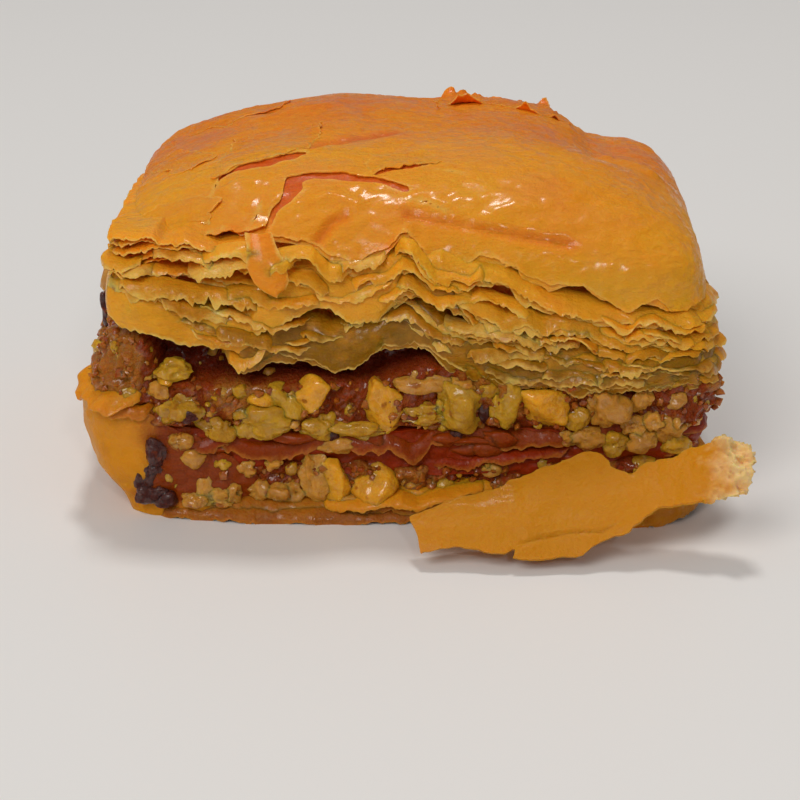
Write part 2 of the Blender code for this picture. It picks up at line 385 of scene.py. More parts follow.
def angle_at(place):
    """The direction of a place round the piece, in millimetres from the middle of the front."""
    return np.interp(np.mod(place, ROUND), ROUND_LENGTH, ROUND_ANGLE)


def even_angles(step):
    """Directions whose points on the outline lie about one step apart, all the way round."""
    length, fine = round_table(0.0)
    count = int(length[-1] / step)
    return np.interp(np.linspace(0.0, length[-1], count, endpoint=False), length, fine)


def ring_at(place, z):
    """Points on the outline at places round the piece, all at one height."""
    return outline(angle_at(place), place * 0.0 + z)[0]


def front_spot(x, z, out):
    """The place on the cut face at a distance across and a height, moved outwards."""
    angles = np.linspace(-math.pi, 0.0, 1501)
    line, outward = outline(angles, angles * 0.0 + z, angles * 0.0)
    here = np.argmin(np.abs(line[:, 0] - x) + np.where(line[:, 1] > -6.0, 50.0, 0.0))
    return line[here] + outward[here] * out


def at_level(points, z):
    """The same places in plan, all at one height."""
    return np.stack([points[:, 0], points[:, 1], points[:, 0] * 0.0 + z], -1)


LIP_CURVE = (
    (-21.5, -17, -13, -8, -4.5, 0.5, 5, 10, 17),
    (6.1, 3.8, 2.2, 1.3, 1.6, 3.3, 1.3, 0.4, 0),
)


def lip_height(x, y):
    """The lid's lower edge: uneven at the cut face, more level towards the back."""
    front = smooth((6.0 - y) / 18.0)
    left = smooth((-x - 12.0) / 10.0)
    rise = np.interp(x, *LIP_CURVE) * blend(0.35 + 0.5 * left, 1.0, front)
    return LIP + rise


def shoulder_height(x):
    """Where the lid's open sides meet its crust: high at the cut faces, lower at the right end."""
    return blend(SHOULDER, CRUST_RIM, smooth((x - 17.0) / 6.0))


# ---- shaders


class Value:
    """A shader socket that takes part in arithmetic; each operation adds a Math node."""

    def __init__(self, paint, socket):
        self.paint, self.socket = paint, socket

    def math(self, operation, *others):
        return self.paint.node("ShaderNodeMath", {"operation": operation}, {
            place: value for place, value in enumerate((self, *others))
        })

    def __add__(self, other):
        return self.math("ADD", other)

    def __sub__(self, other):
        return self.math("SUBTRACT", other)

    def __rsub__(self, other):
        return self.paint.node("ShaderNodeMath", {"operation": "SUBTRACT"}, {0: other, 1: self})

    def __mul__(self, other):
        return self.math("MULTIPLY", other)

    def __truediv__(self, other):
        return self.math("DIVIDE", other)

    __radd__ = __add__
    __rmul__ = __mul__

    def clamped(self):
        return self.paint.node("ShaderNodeClamp", {}, {"Value": self})

    def step(self, low, high):
        """0 where the value is below low, 1 above high, and smooth between."""
        return self.paint.node(
            "ShaderNodeMapRange", {"interpolation_type": "SMOOTHSTEP"},
            {"Value": self, "From Min": low, "From Max": high},
        )


class Paint:
    """A material and the nodes that paint it."""

    def __init__(self, name, **principled):
        self.material = bpy.data.materials.new(name)
        self.material.use_nodes = True
        self.tree = self.material.node_tree
        self.surface = self.tree.nodes["Principled BSDF"]
        for socket, value in principled.items():
            self.surface.inputs[socket.replace("_", " ")].default_value = value
        self.place = self.node("ShaderNodeTexCoord", {}, {}, "Object")

    def node(self, kind, settings, sockets, output=0):
        made = self.tree.nodes.new(kind)
        for name, value in settings.items():
            setattr(made, name, value)
        for name, value in sockets.items():
            self.feed(made.inputs[name], value)
        return Value(self, made.outputs[output])

    def feed(self, socket, value):
        if isinstance(value, Value):
            self.tree.links.new(value.socket, socket)
        else:
            socket.default_value = value

    def layer(self, name):
        """A value stored at the piece's points."""
        return self.node("ShaderNodeAttribute", {"attribute_name": name}, {}, "Fac")

    def noise(self, size, detail=3.0, stretch=(1.0, 1.0, 1.0), roughness=0.55):
        """Noise from 0 to 1 whose lumps are about size millimetres across."""
        scaled = self.node(
            "ShaderNodeVectorMath", {"operation": "MULTIPLY"},
            {0: self.place, 1: tuple(1.0 / s for s in stretch)},
        )
        return self.node(
            "ShaderNodeTexNoise", {},
            {"Vector": scaled, "Scale": 1.0 / (size * MM), "Detail": detail, "Roughness": roughness},
        )

    def mix(self, share, first, second):
        """One colour over another."""
        return self.node("ShaderNodeMix", {"data_type": "RGBA"}, {0: share, 6: first, 7: second}, 2)

    def bump(self, height, distance):
        return self.node("ShaderNodeBump", {}, {"Height": height, "Distance": distance * MM, "Strength": 1.0})

    def finish(self, **sockets):
        for name, value in sockets.items():
            self.feed(self.surface.inputs[name.replace("_", " ")], value)
        return self.material


def colour(red, green, blue):
    """A colour given as 0 to 255 display values."""
    def linear(value):
        value = value / 255.0
        return value / 12.92 if value <= 0.04045 else ((value + 0.055) / 1.055) ** 2.4
    return (linear(red), linear(green), linear(blue), 1.0)


def syrupy(name, reach, red_green_blue, index=1.22, gloss=0.12, coat=1.42, share=0.6):
    """A soft material that light goes into, for reach millimetres, under a coat of syrup."""
    return Paint(
        name, Subsurface_Weight=share, Subsurface_Scale=reach * MM, Subsurface_Radius=red_green_blue,
        IOR=index, Coat_Roughness=gloss, Coat_IOR=coat,
    )


# ---- pastry


def pastry_paint(name, colours, shine, edges=0.5, dry=0.6):
    """Baked pastry from soaked olive through gold to deep orange, a change partly painted light,
    and pale and thin at its torn edges.

    The bake layer, which also carries painted light, runs from 0 to 2 over those colours: partly how
    baked and soaked the pastry is, partly painted light, orange where the light from above falls and
    olive on the sides, and painted shade, deep orange in tears and creases. "rim" is the distance in
    millimetres from a torn edge, where the colour turns pale: partly the thin edge's own colour, partly
    a painted highlight and light shining through.
    """
    paint = syrupy(name, 0.7, (1.0, 0.5, 0.15), gloss=0.17, coat=1.4)
    mottle = paint.noise(5.0, 3.0) - 0.5
    fleck = paint.noise(0.9, 4.0) - 0.5
    bake = paint.layer("bake") + mottle * 0.5 + fleck * 0.4
    ramp = paint.node("ShaderNodeValToRGB", {}, {"Fac": bake / 2.0})
    stops = ramp.socket.node.color_ramp.elements
    stops[0].position, stops[0].color = 0.0, colours.soaked
    stops[1].position, stops[1].color = 1.0, colours.deep
    for position, tone in ((0.27, colours.gold), (0.48, colours.crust)):
        stops.new(position).color = tone
    # Pale torn edges: partly the thin pastry's own colour, partly painted highlight and light shining
    # through.
    rim = paint.layer("rim")
    ragged = paint.noise(0.7, 3.0) * 0.5 + paint.noise(3.0, 2.0) * 1.1 - 0.3
    pale = (1.0 - (rim + ragged).step(0.4, 0.8)) * edges
    base = paint.mix(pale, ramp, colours.pale)
    syrup = (paint.noise(5.0, 3.0) * 0.8 + paint.noise(0.5, 2.0) * 0.5).step(dry, dry + 0.1)
    grains = paint.noise(0.2, 2.0, roughness=0.6)
    ripples = paint.noise(0.7, 3.0, (1.8, 1.0, 0.6))
    folds = paint.noise(2.2, 4.0, (1.5, 1.0, 0.6), roughness=0.6)
    normal = paint.bump(grains * 0.3 + ripples * 0.8 + folds * 1.3, 0.2)
    return paint.finish(
        Base_Color=base,
        Roughness=0.5,
        Coat_Weight=(syrup + 0.1) * shine,
        Normal=normal,
    )


def even_shares(half, height, power, count):
    """Places from -1 to 1 across a dome that divide its curve evenly."""
    fine = np.linspace(0.0, 1.0, 2001)
    rise = height * np.sqrt(1.0 - fine**power)
    length = np.concatenate([[0.0], np.cumsum(np.hypot(half * np.diff(fine), np.diff(rise)))])
    side = np.interp(np.linspace(0.0, length[-1], count), length, fine)
    return np.concatenate([-side[:0:-1], side])


CROWN_ACROSS = HALF_WIDTH * 1.035
CROWN_ALONG = HALF_DEPTH * 1.035
CROWN_POWER_X = 2.7
CROWN_POWER_Y = 4.0
CROWN_EASE = 0.02
CURVE_ACROSS = 31.0
CURVE_ALONG = 26.0
JUST_INSIDE = 0.9995

# How far the dome's far half sinks, by place across
CROWN_DENTS = (
    (-22, -20, -17, -11, -8, -5, -2, 3, 9, 12, 14, 15.6, 17.4, 19.5, 21.5),
    (0, 0.2, 0.35, 0.3, 0, -0.3, -0.1, 0.25, 0.3, 0.6, 1.1, 2.1, 2.1, 1.2, 0.3),
)


def on_crown(x, y):
    """Points on the smooth dome above places in plan, drawn in where the body's outline is narrower."""
    across = np.clip(np.abs(x) / CROWN_ACROSS, 0.0, 1.0)
    along = np.clip(np.abs(y) / CROWN_ALONG, 0.0, 1.0)
    share = np.sqrt((1.0 - across**CROWN_POWER_X) * (1.0 - along**CROWN_POWER_Y))
    z = CRUST_RIM + (CROWN - CRUST_RIM) * share - stand_in(CROWN_DENTS, x) * share * smooth((y + 6.0) / 8.0)
    wide = HALF_WIDTH - np.where(x > 0.0, stand_in(RIGHT_SIDE, z), stand_in(LEFT_SIDE, z))
    deep = HALF_DEPTH - stand_in(CUT_SIDE, z)
    power = np.where(y > 0.0, FAR_CORNER_POWER, CORNER_POWER)
    reach = ((np.abs(x) / wide) ** power + (np.abs(y) / deep) ** power) ** (1.0 / power)
    held = 1.0 - CROWN_EASE * np.log1p(np.exp(np.minimum((1.0 - reach) / CROWN_EASE, 60.0)))
    scale = held / np.maximum(reach, 1e-6)
    return np.stack([x * scale, y * scale, z], -1)


# Where the crust's front edge lies: height by place across
CRUST_EDGE = (
    (-23, -20.2, -17.5, -15.2, -13.2, -10.2, -9.6, -6.4, -5.2, -3.4, -1, 0.2, 1, 2.6, 5.2, 5.9, 8.6, 9.3,
     11.1, 13.5, 15.6, 16.9, 17.8, 19, 20.8, 23),
    (21.2, 20.9, 22.1, 22.2, 22.8, 22.9, 22.2, 22.1, 21, 20.9, 21.6, 22.6, 22.4, 20.6, 20.5, 21.1, 20.4, 19.7,
     18.9, 19.1, 17.8, 16.9, 17.7, 17.6, 16.4, 16.2),
)

# Tears in the crust, in plan: places, half widths, and how far the far side lifts
TEARS = (
    (((-14.2, -12.6), (-13.7, -10.3), (-12.8, -9.2), (-10.2, -8.9), (-8.2, -8.2), (-7.3, -7.5)), (0,
      0.135, 0.378, 0.486, 0.675, 0.162), 0.35),
    (((-9.8, -16.4), (-9.4, -14.9), (-8.5, -14), (-8, -12.9), (-8, -12), (-6.5, -11.5), (-5.2, -11.6),
      (-3.6, -11.9), (-1.6, -12.3), (0.5, -13.3)), (0.081, 0.297, 0.459, 0.7425, 0.675, 0.297, 0.351, 0.567,
      0.27, 0.27), 0.28),
    (((-2.3, -12), (-1.4, -11.1), (0, -10.4), (1.5, -10.1), (3, -9.4)), (0, 0.216, 0.378, 0.216, 0), 0.25),
    (((2.3, -10.6), (4.6, -11.2), (6.4, -12.5)), (0, 0.081, 0), 0.2),
    (((0, -14.2), (1.6, -14.3), (3.7, -15.3)), (0, 0.135, 0), 0.2),
    (((-11.6, -16.6), (-10.6, -15.2), (-10.2, -13.9)), (0.0675, 0.1215, 0), 0.2),
)

# Thin sheets lying on the crust: outline in plan, lift and bake
PATCHES = (
    (((-14, -10.1), (-13, -8.9), (-12, -8.5), (-10, -8.3), (-8.4, -7.4), (-7.7, -6.1), (-6.2, -2.9),
      (-6.1, 1.3), (-7.5, 0.2), (-9.2, -1.5), (-10.7, -1.3), (-11.8, -2), (-12.8, -1.2), (-13.2, -4.7),
      (-14.2, -7.4)), 0.16, 1.02),
    (((-20.4, 0.4), (-19.6, -2.6), (-17.6, -6.2), (-15.6, -6.8), (-14, -5.4), (-15.6, -3.2),
      (-16.5, -1.4), (-17.4, 0.8), (-19, 1.6)), 0.08, 1),
    (((-2.2, -11.7), (-1.4, -10.7), (-0.2, -9.9), (2.9, -9.2), (1.6, -7.9), (-1.5, -8.4), (-2.9, -10)),
      0.05, 1),
    (((-20.6, -13.6), (-19, -15.2), (-16.6, -14.6), (-14.4, -15), (-13.4, -13.6), (-14.4, -12.6),
      (-16.6, -12), (-19, -12.2)), 0.1, 0.98),
    (((3.2, 5.6), (4.4, 7.2), (7.4, 8.6), (11.6, 7.6), (14.2, 9.2), (12, 12.6), (7, 13.6), (3.4, 11)),
      0.9, 0.95),
    (((-17, 6.4), (-14, 5), (-10.6, 6.6), (-9, 9.4), (-11, 12.6), (-14.6, 12), (-17, 9.6)), 0.12, 0.95),
)

# Soft folds: places in plan, height of the ridge and its half width
FOLDS = (
    (((-7.4, -7), (-6.1, -5.1), (-3.8, -4.2), (0.5, -2)), -0.3, 0.6),
    (((-0.4, -15.2), (2.2, -15.7), (5.2, -16.1), (10.3, -16.6), (14, -16.8)), -0.35, 0.4),
    (((16, 2.5), (18.5, 0.5), (20.5, -3)), 0.45, 1.3),
    (((-13.8, -12.6), (-12, -11.4), (-10.4, -12)), 0.2, 0.5),
    (((-7, -14.6), (-5.4, -13.8), (-3.4, -14.4), (-2.4, -16.2)), 0.22, 0.5),
    (((-6.4, -17.2), (-5, -15.8), (-3.6, -15.4)), -0.25, 0.4),
    (((4.6, -16.6), (7.6, -14.8), (10.6, -14)), 0.16, 0.7),
    (((2, 13), (9, 11), (15, 12.5)), 0.3, 1.2),
    (((-18, 9), (-11, 4.5), (-4, 6)), 0.25, 1),
)


def crust_grid(step, low=(-1.0, -1.0), high=(1.0, 1.0)):
    """An even grid over the crown, or part of it: places in plan, points and faces."""
    columns = even_shares(CROWN_ACROSS, CROWN - CRUST_RIM, CROWN_POWER_X, int(CURVE_ACROSS / step))
    rows = even_shares(CROWN_ALONG, CROWN - CRUST_RIM, CROWN_POWER_Y, int(CURVE_ALONG / step))
    columns, rows = columns * JUST_INSIDE, rows * JUST_INSIDE
    columns = columns[(columns >= low[0]) & (columns <= high[0])]
    rows = rows[(rows >= low[1]) & (rows <= high[1])]
    a, b = np.meshgrid(columns, rows)
    plan = np.stack([a.ravel() * CROWN_ACROSS, b.ravel() * CROWN_ALONG], -1)
    return plan, on_crown(*plan.T), grid_faces(*a.shape)


def fold_ridges(points, ease, spare):
    """For each fold its height and how near its line each point lies, from 0 to 1."""
    for line, height, width in FOLDS:
        distance, place = near_line(points, on_crown(*np.array(line, float).T))
        fade = smooth(place / ease) * smooth((1.0 - place) / ease)
        yield height, fade * np.exp(-((distance / (width + spare)) ** 2))


def crumpled(points):
    """How far the crust rises above the smooth dome."""
    flow = points * [1.0, 1.6, 1.6]
    creased = 1.0 - np.abs(rough_noise(flow, 2.4, 42, 3)) * 2.0
    rise = rough_noise(points, 9.0, 16, 2) * 0.22 + creased * 0.08
    rise = rise + rough_noise(flow, 0.9, 17, 3) * 0.08 + rough_noise(points, 0.7, 18, 2) * 0.045
    for height, near in fold_ridges(points, 0.15, 0.0):
        rise = rise + height * near
    return rise


def crust_sheet(step, depth, torn, drop, seed):
    """One of the sheets of the crust, depth below the top one, as points, faces and layers."""
    _, points, faces = crust_grid(step)
    normals = point_normals(points, faces)
    x, y = points[:, 0], points[:, 1]
    ragged = rough_noise(points, 1.6, seed, 5) * 0.5 + np.abs(rough_noise(points, 0.7, seed + 1, 3)) * 0.4

    front = smooth((np.abs(y) / HALF_DEPTH - np.abs(x) / HALF_WIDTH + 0.03) / 0.06) * (y < 0.0)
    beyond = blend(SHOULDER - 0.2, CRUST_RIM + 0.3, smooth((x - 15.0) / 6.0))
    edge = blend(beyond + rough_noise(points, 5.0, seed + 3) * 0.9, np.interp(x, *CRUST_EDGE), front)
    keep = points[:, 2] - (edge - drop) + ragged * 0.7

    lift = crumpled(points)
    curl = 0.5 + rough_noise(points, 2.0, seed + 8, 3)
    lift = lift + 0.22 * np.exp(-np.maximum(keep, 0.0) / 0.5) * curl
    for line, widths, raised in TEARS:
        route = on_crown(*np.array(line, float).T)
        distance, place = near_line(points, route)
        shares = np.linspace(0.0, 1.0, len(widths))
        half = np.interp(place, shares, widths)
        if torn:
            keep = np.minimum(keep, distance - half + ragged * np.minimum(half, 0.4))
        middle = np.interp(place, shares, route[:, 1])
        far = smooth((y - middle) / 0.4)
        lift = lift + blend(-0.05, raised * 0.6, far) * np.exp(-distance / 0.9) * smooth(half / 0.1)
    points = points + normals * (lift - depth)[:, None]
    # Partly painted light, partly real baking: more orange towards the back and more golden low on the dome,
    # as light from above tints it.
    bake = 0.95 + rough_noise(points, 6.0, seed + 9) * 0.2 + 0.5 * smooth((points[:, 1] + 10.0) / 14.0)
    bake = bake - 0.3 * smooth((23.0 - points[:, 2]) / 5.0)
    # Painted shade: the folds that sink in, the creases, are painted deeper orange.
    for height, near in fold_ridges(points, 0.1, 0.1):
        bake = bake + 0.6 * near * (height < 0.0)
    return clip(points, faces, keep, {"rim": keep, "bake": bake})


def crust_patch(corners, raised, bake, seed):
    """A thin torn sheet lying on the crust."""
    low, high = np.min(corners, 0) - 0.6, np.max(corners, 0) + 0.6
    half = np.array([CROWN_ACROSS, CROWN_ALONG])
    plan, points, faces = crust_grid(0.22, low / half, high / half)
    normals = point_normals(points, faces)
    keep = inside(plan, corners) + rough_noise(points, 2.2, seed, 6) * 0.8
    keep = keep + np.abs(rough_noise(points, 0.7, seed + 4, 3)) * 0.5
    ease = np.exp(-np.maximum(keep, 0.0) / 0.6)
    curl = 0.2 + rough_noise(points, 1.7, seed + 1, 3)
    lift = crumpled(points) + 0.03 + (0.1 + raised * 1.6) * ease * np.clip(curl, 0.0, 1.0)
    points = points + normals * lift[:, None]
    # Partly painted light, as on the crust: more orange towards the back.
    tint = bake + rough_noise(points, 3.0, seed + 3) * 0.1 + 0.5 * smooth((points[:, 1] + 10.0) / 14.0)
    return clip(points, faces, keep, {"rim": keep * 2.0, "bake": tint})


PATCH_THICKNESS = 0.1


def build_crust(crust, colours):
    """The torn top sheet over a deeper one, with loose sheets lying on it."""
    material = pastry_paint("crust", colours, shine=crust.shine, edges=0.35)
    for name, step, depth, torn, drop, seed, deeper in (
        ("crust_top", 0.3, 0.0, True, 0.0, 11, 0.0),
        ("crust_under", 0.55, 0.17, False, 0.25, 23, 1.0),
    ):
        points, faces, layers = crust_sheet(step, depth, torn, drop, seed)
        # Painted shade, with the lower sheet's own deeper colour: the under sheet turns towards the deep
        # colour away from its front edge, so the tears look shaded inside.
        layers["bake"] = layers["bake"] + deeper * smooth((layers["rim"] - 0.8) / 1.5)
        sheet = Mesh()
        sheet.add_shell(points, faces, crust.thickness / MM, layers)
        sheet.make(name, material, "crust", "top_pastry")

    patches = Mesh()
    for number, (corners, raised, bake) in enumerate(PATCHES):
        points, faces, layers = crust_patch(np.array(corners), raised, bake, 400 + number * 5)
        patches.add_shell(points, faces, PATCH_THICKNESS, layers)
    patches.make("crust_flakes", material, "crust", "top_pastry")


# ---- the lid's open sides

# How far round from the front's middle the nearer corners lie, and half the stretch they take up
CORNER_PLACE = 25.0
CORNER_REACH = 4.5


def hanging_sheet(mesh, place, height, out, rise, depth, rows, bake, thickness, seed, turn=1.0,
                  ragged=0.45, closed=False, taper=1.0, crumple=1.0, bulge=0.0, pale=1.0):
    """A sheet that runs out from inside the piece and bends down to a torn rim.

    place, height and out are the rim's: round the piece, up, and outwards from the outline. The
    sheet starts depth further in and rise higher up, and turn is the share of a quarter circle that
    it bends through. taper is the stretch in which its ends draw in, crumple scales its waves, bulge
    pushes its middle out, and pale widens its pale rim, whose colour is partly the thin edge's own
    and partly painted highlight and light shining through.
    """
    place, height, out = (np.asarray(v, float) for v in (place, height, out))
    share = (np.linspace(0.0, 1.0, rows) ** 0.8)[:, None]
    end = turn * 0.5 * math.pi
    theta = share * end
    if not closed:
        reach = np.minimum(place - place[0], place[-1] - place) / taper
        out = out - 1.3 * (1.0 - smooth(reach)) ** 2
    corner = smooth((np.abs(np.abs(place) - CORNER_PLACE) - CORNER_REACH) / -1.5)
    out = out + corner * (0.3 + line_noise(place, 2.6, seed + 12, 3)) * ragged * 1.5
    tooth = np.abs(line_noise(place, 1.5, seed + 1, 3)) * 1.1
    tooth = tooth + np.abs(line_noise(place, 0.4, seed + 9, 2)) * 0.8
    tear = (line_noise(place, 2.6, seed, 4) * 0.8 + tooth - 0.3) * ragged
    inward = depth * (1.0 - np.sin(theta) / math.sin(end))
    upward = rise * (np.cos(theta) - math.cos(end)) / (1.0 - math.cos(end))
    flow = np.stack([place, place * 0.0 + seed * 5.3, place * 0.0], -1)
    along = flow[None] + share[..., None] * np.array([0.0, 0.0, 1.8 * rise])
    wave = rough_noise(along, 3.2, seed + 2, 3) * 0.35 * (0.3 + share)
    wave = wave + rough_noise(along * [0.5, 1.0, 1.2], 1.3, seed + 3, 3) * 0.17 * share
    wave = wave + rough_noise(along * [1.0, 1.0, 1.6], 0.7, seed + 5, 1) * 0.07
    wave = wave * crumple + bulge * np.sin(math.pi * share)
    droop = rough_noise(along, 1.3, seed + 7, 3) * 0.12 * share**2
    z = height[None] + upward - tear[None] * share**3 + droop * crumple
    base, _ = outline(np.broadcast_to(angle_at(place), z.shape), z, out[None] - inward + wave)
    faces = grid_faces(rows, len(place), closed)
    rim = (1.0 - share) * (rise + depth * 0.4) / pale
    tint = bake + rough_noise(along, 4.0, seed + 4, 2) * 0.25
    layers = {
        "rim": np.broadcast_to(rim, z.shape).ravel(),
        "bake": np.broadcast_to(tint, z.shape).ravel(),
    }
    mesh.add_shell(base.reshape(-1, 3), faces[:, ::-1], thickness, layers)


def traced(rim, step=0.17):
    """Even points along a rim given as (place, height, out)."""
    rim = np.array(rim, float)
    length = run_length(rim)
    where = np.linspace(0.0, length[-1], max(int(length[-1] / step), 4))
    return [softened(np.interp(where, length, rim[:, k]), 1) for k in range(3)]


# The sheets that show at the cut face: the rim as (place, height, out), then rise, depth, bake
# (partly painted light: low for olive sheets low down, high for orange ones) and how many more
# edges show close behind it
FRONT_SHEETS = (
    # fringes under the crust's left end
    (((-40, 22.1, 0.2), (-30, 22.3, 0.5), (-24, 22.3, 1.1), (-21.6, 22.3, 0.9), (-18.3, 22.6, 0.3),
      (-17.5, 22, 0.2), (-15.9, 22.4, 0.2), (-13.4, 21.6, 0.1), (-11, 22, -0.2)), 0.4, 4, 0.9, 1),
    (((-42, 20.8, 0.2), (-30, 21, 0.4), (-24, 21.1, 1), (-20.5, 21.1, 0.6), (-18.6, 21.7, 0.2),
      (-15.8, 21.9, 0), (-12, 21.2, -0.4)), 0.4, 3, 0.9, 2),
    (((-26, 19.6, 0.2), (-22.5, 19.7, 0.2), (-19, 19.9, -0.1), (-15, 19.7, -0.2), (-12.5, 19, 0),
      (-9.4, 18.6, -0.4)), 0.6, 2.4, 0.8, 1),
    # the upper middle, under the crust's torn edge
    (((-9.5, 19.9, -0.7), (-7.6, 19.4, -0.3), (-5.2, 20.3, -0.3), (-3, 20.6, -0.4), (-1, 20.9, -0.7)),
      0.9, 2, 0.8, 0),
    (((-6, 19.4, -1), (-3.5, 19.5, -0.4), (-1.5, 19.9, -0.1), (1, 20.2, 0.2), (3, 20.4, 0.3),
      (5, 19.7, 0.4), (7.8, 19.2, 0.45), (8.9, 18.4, 0.4), (10.9, 17.4, 0.4), (13.5, 16.6, 0.3),
      (16.5, 16, 0.3), (20, 15.5, 0.2), (24, 15.2, 0.3), (30, 15.3, 0.3)), 1.6, 2.6, 0.66, 1),
    # the left fold, out over the pocket
    (((-46, 16.8, -0.1), (-34, 17.2, 0.2), (-25.5, 18.2, 0.4), (-23.4, 17.6, 0.5), (-21.5, 16.4, 0.6),
      (-19.3, 15.4, 0.7), (-17, 14.6, 0.7), (-14.4, 14.3, 0.6), (-12.3, 13.8, 0.4), (-11.1, 14, 0.3),
      (-10.7, 15, 0.3), (-9.5, 15.8, 0.3), (-8.1, 16.6, 0.3), (-6.2, 17.2, 0.25), (-4.7, 16.9, 0.3),
      (-3.8, 16, 0.35), (-2.9, 15.7, 0.35), (-1.7, 16, 0.2), (-0.6, 16.9, -0.1), (0.6, 17.8, -0.6),
      (2.2, 18.4, -1.2)), 4.2, 2.6, 0.52, 0),
    # the middle, stepping down to the right
    (((-1.6, 17.6, -0.1), (0.2, 18.3, 0.1), (1.4, 18.7, 0.2), (2.8, 18.3, 0.3), (4.2, 17.7, 0.3),
      (5.2, 16.2, 0.3), (6.2, 14.9, 0.3), (7.2, 14.7, 0.3), (8.4, 13.8, 0.25), (10.5, 13.4, 0.1),
      (13, 12.9, -0.2)), 1.8, 2, 0.3, 1),
    (((2.5, 18.4, 0.1), (4.5, 17.9, 0.45), (6.1, 16.8, 0.5), (7.9, 15.7, 0.5), (9.2, 16.2, 0.5),
      (10.6, 15.3, 0.5), (11.7, 15.7, 0.45), (14.1, 15.3, 0.45), (15.8, 14.2, 0.4), (18.5, 13.8, 0.2),
      (21, 13.9, 0)), 1.5, 2.4, 0.42, 2),
    (((13, 15.2, 0), (15, 15.1, 0.35), (16.8, 14.5, 0.5), (17.6, 14.7, 0.5), (21, 14.3, 0.4),
      (24, 14, 0.6), (28, 14.2, 0.6), (40, 14.4, 0.3)), 0.9, 2.2, 0.55, 2),
    # the lowest sheet, behind the pocket and along the lip
    (((-14.4, 15, -1.4), (-13.2, 14.2, -0.8), (-12.2, 13.2, -0.3), (-11.9, 12.5, 0.1), (-10.7, 12.6, 0.3),
      (-9.5, 13.4, 0), (-7.5, 13.4, -0.2), (-6.1, 13.1, -0.1), (-5.1, 12.3, 0.1), (-4.1, 12.6, 0.1),
      (-2.9, 12.9, 0), (-1.3, 14.2, -0.2), (0.5, 14.4, -0.3), (1.6, 14.6, -0.1), (2.8, 13.9, 0.1),
      (3.7, 12.8, 0.2), (5.6, 12.1, 0.3), (7.5, 11.3, 0.35), (11.3, 11.6, 0.35), (13.2, 11, 0.3),
      (16, 10.9, 0.3), (20, 10.9, 0.3), (24, 11, 0.4), (30, 11, 0.4)), 3.6, 2.4, 0.04, 1),
    (((6.5, 13.2, -0.2), (9, 12.8, 0.3), (12, 12.6, 0.45), (14.3, 12.9, 0.45), (15.8, 12.3, 0.45),
      (18, 11.9, 0.4), (21, 12.1, 0.4), (24, 11.8, 0.9), (28, 12, 0.7), (38, 12.2, 0.4)), 1.1, 2, 0.3, 2),
    (((14, 13.6, -0.2), (17.3, 13.2, 0.45), (19, 12.9, 0.5), (21, 13.1, 0.5), (24, 13, 0.8),
      (27, 13.1, 0.8), (36, 13.3, 0.4)), 0.8, 1.8, 0.4, 1),
)


# Pale thin scraps at the cut face, pale partly in their own colour and partly as painted highlight: rim, rise
# and depth
PALE_SHEETS = (
    (((-13.2, 13.6, 0.2), (-12.6, 12.9, 0.6), (-11.8, 12.6, 0.8), (-11, 13, 0.8), (-10.2, 13.8, 0.7),
      (-9.4, 14.6, 0.3)), 1, 1.2),
    (((-5.6, 20.6, 0), (-4.6, 20.2, 0.5), (-3, 20.3, 0.7), (-1.4, 20.7, 0.5), (-0.6, 21.4, 0)), 0.7, 1.4),
    (((-18.6, 21.4, 0.5), (-16.6, 21.2, 0.7), (-14.6, 20.9, 0.7), (-13, 20.4, 0.3)), 0.5, 1.4),
    (((-25, 21.8, 0.8), (-23.6, 21.5, 1.5), (-22.2, 21.4, 1.3), (-20.6, 21.7, 0.7)), 0.4, 2),
    (((7.6, 16.2, 0.2), (8.6, 15.5, 0.9), (9.4, 15.9, 0.9), (10.4, 15.2, 0.9), (11.2, 15.4, 0.4)), 0.5,
      1.6),
)


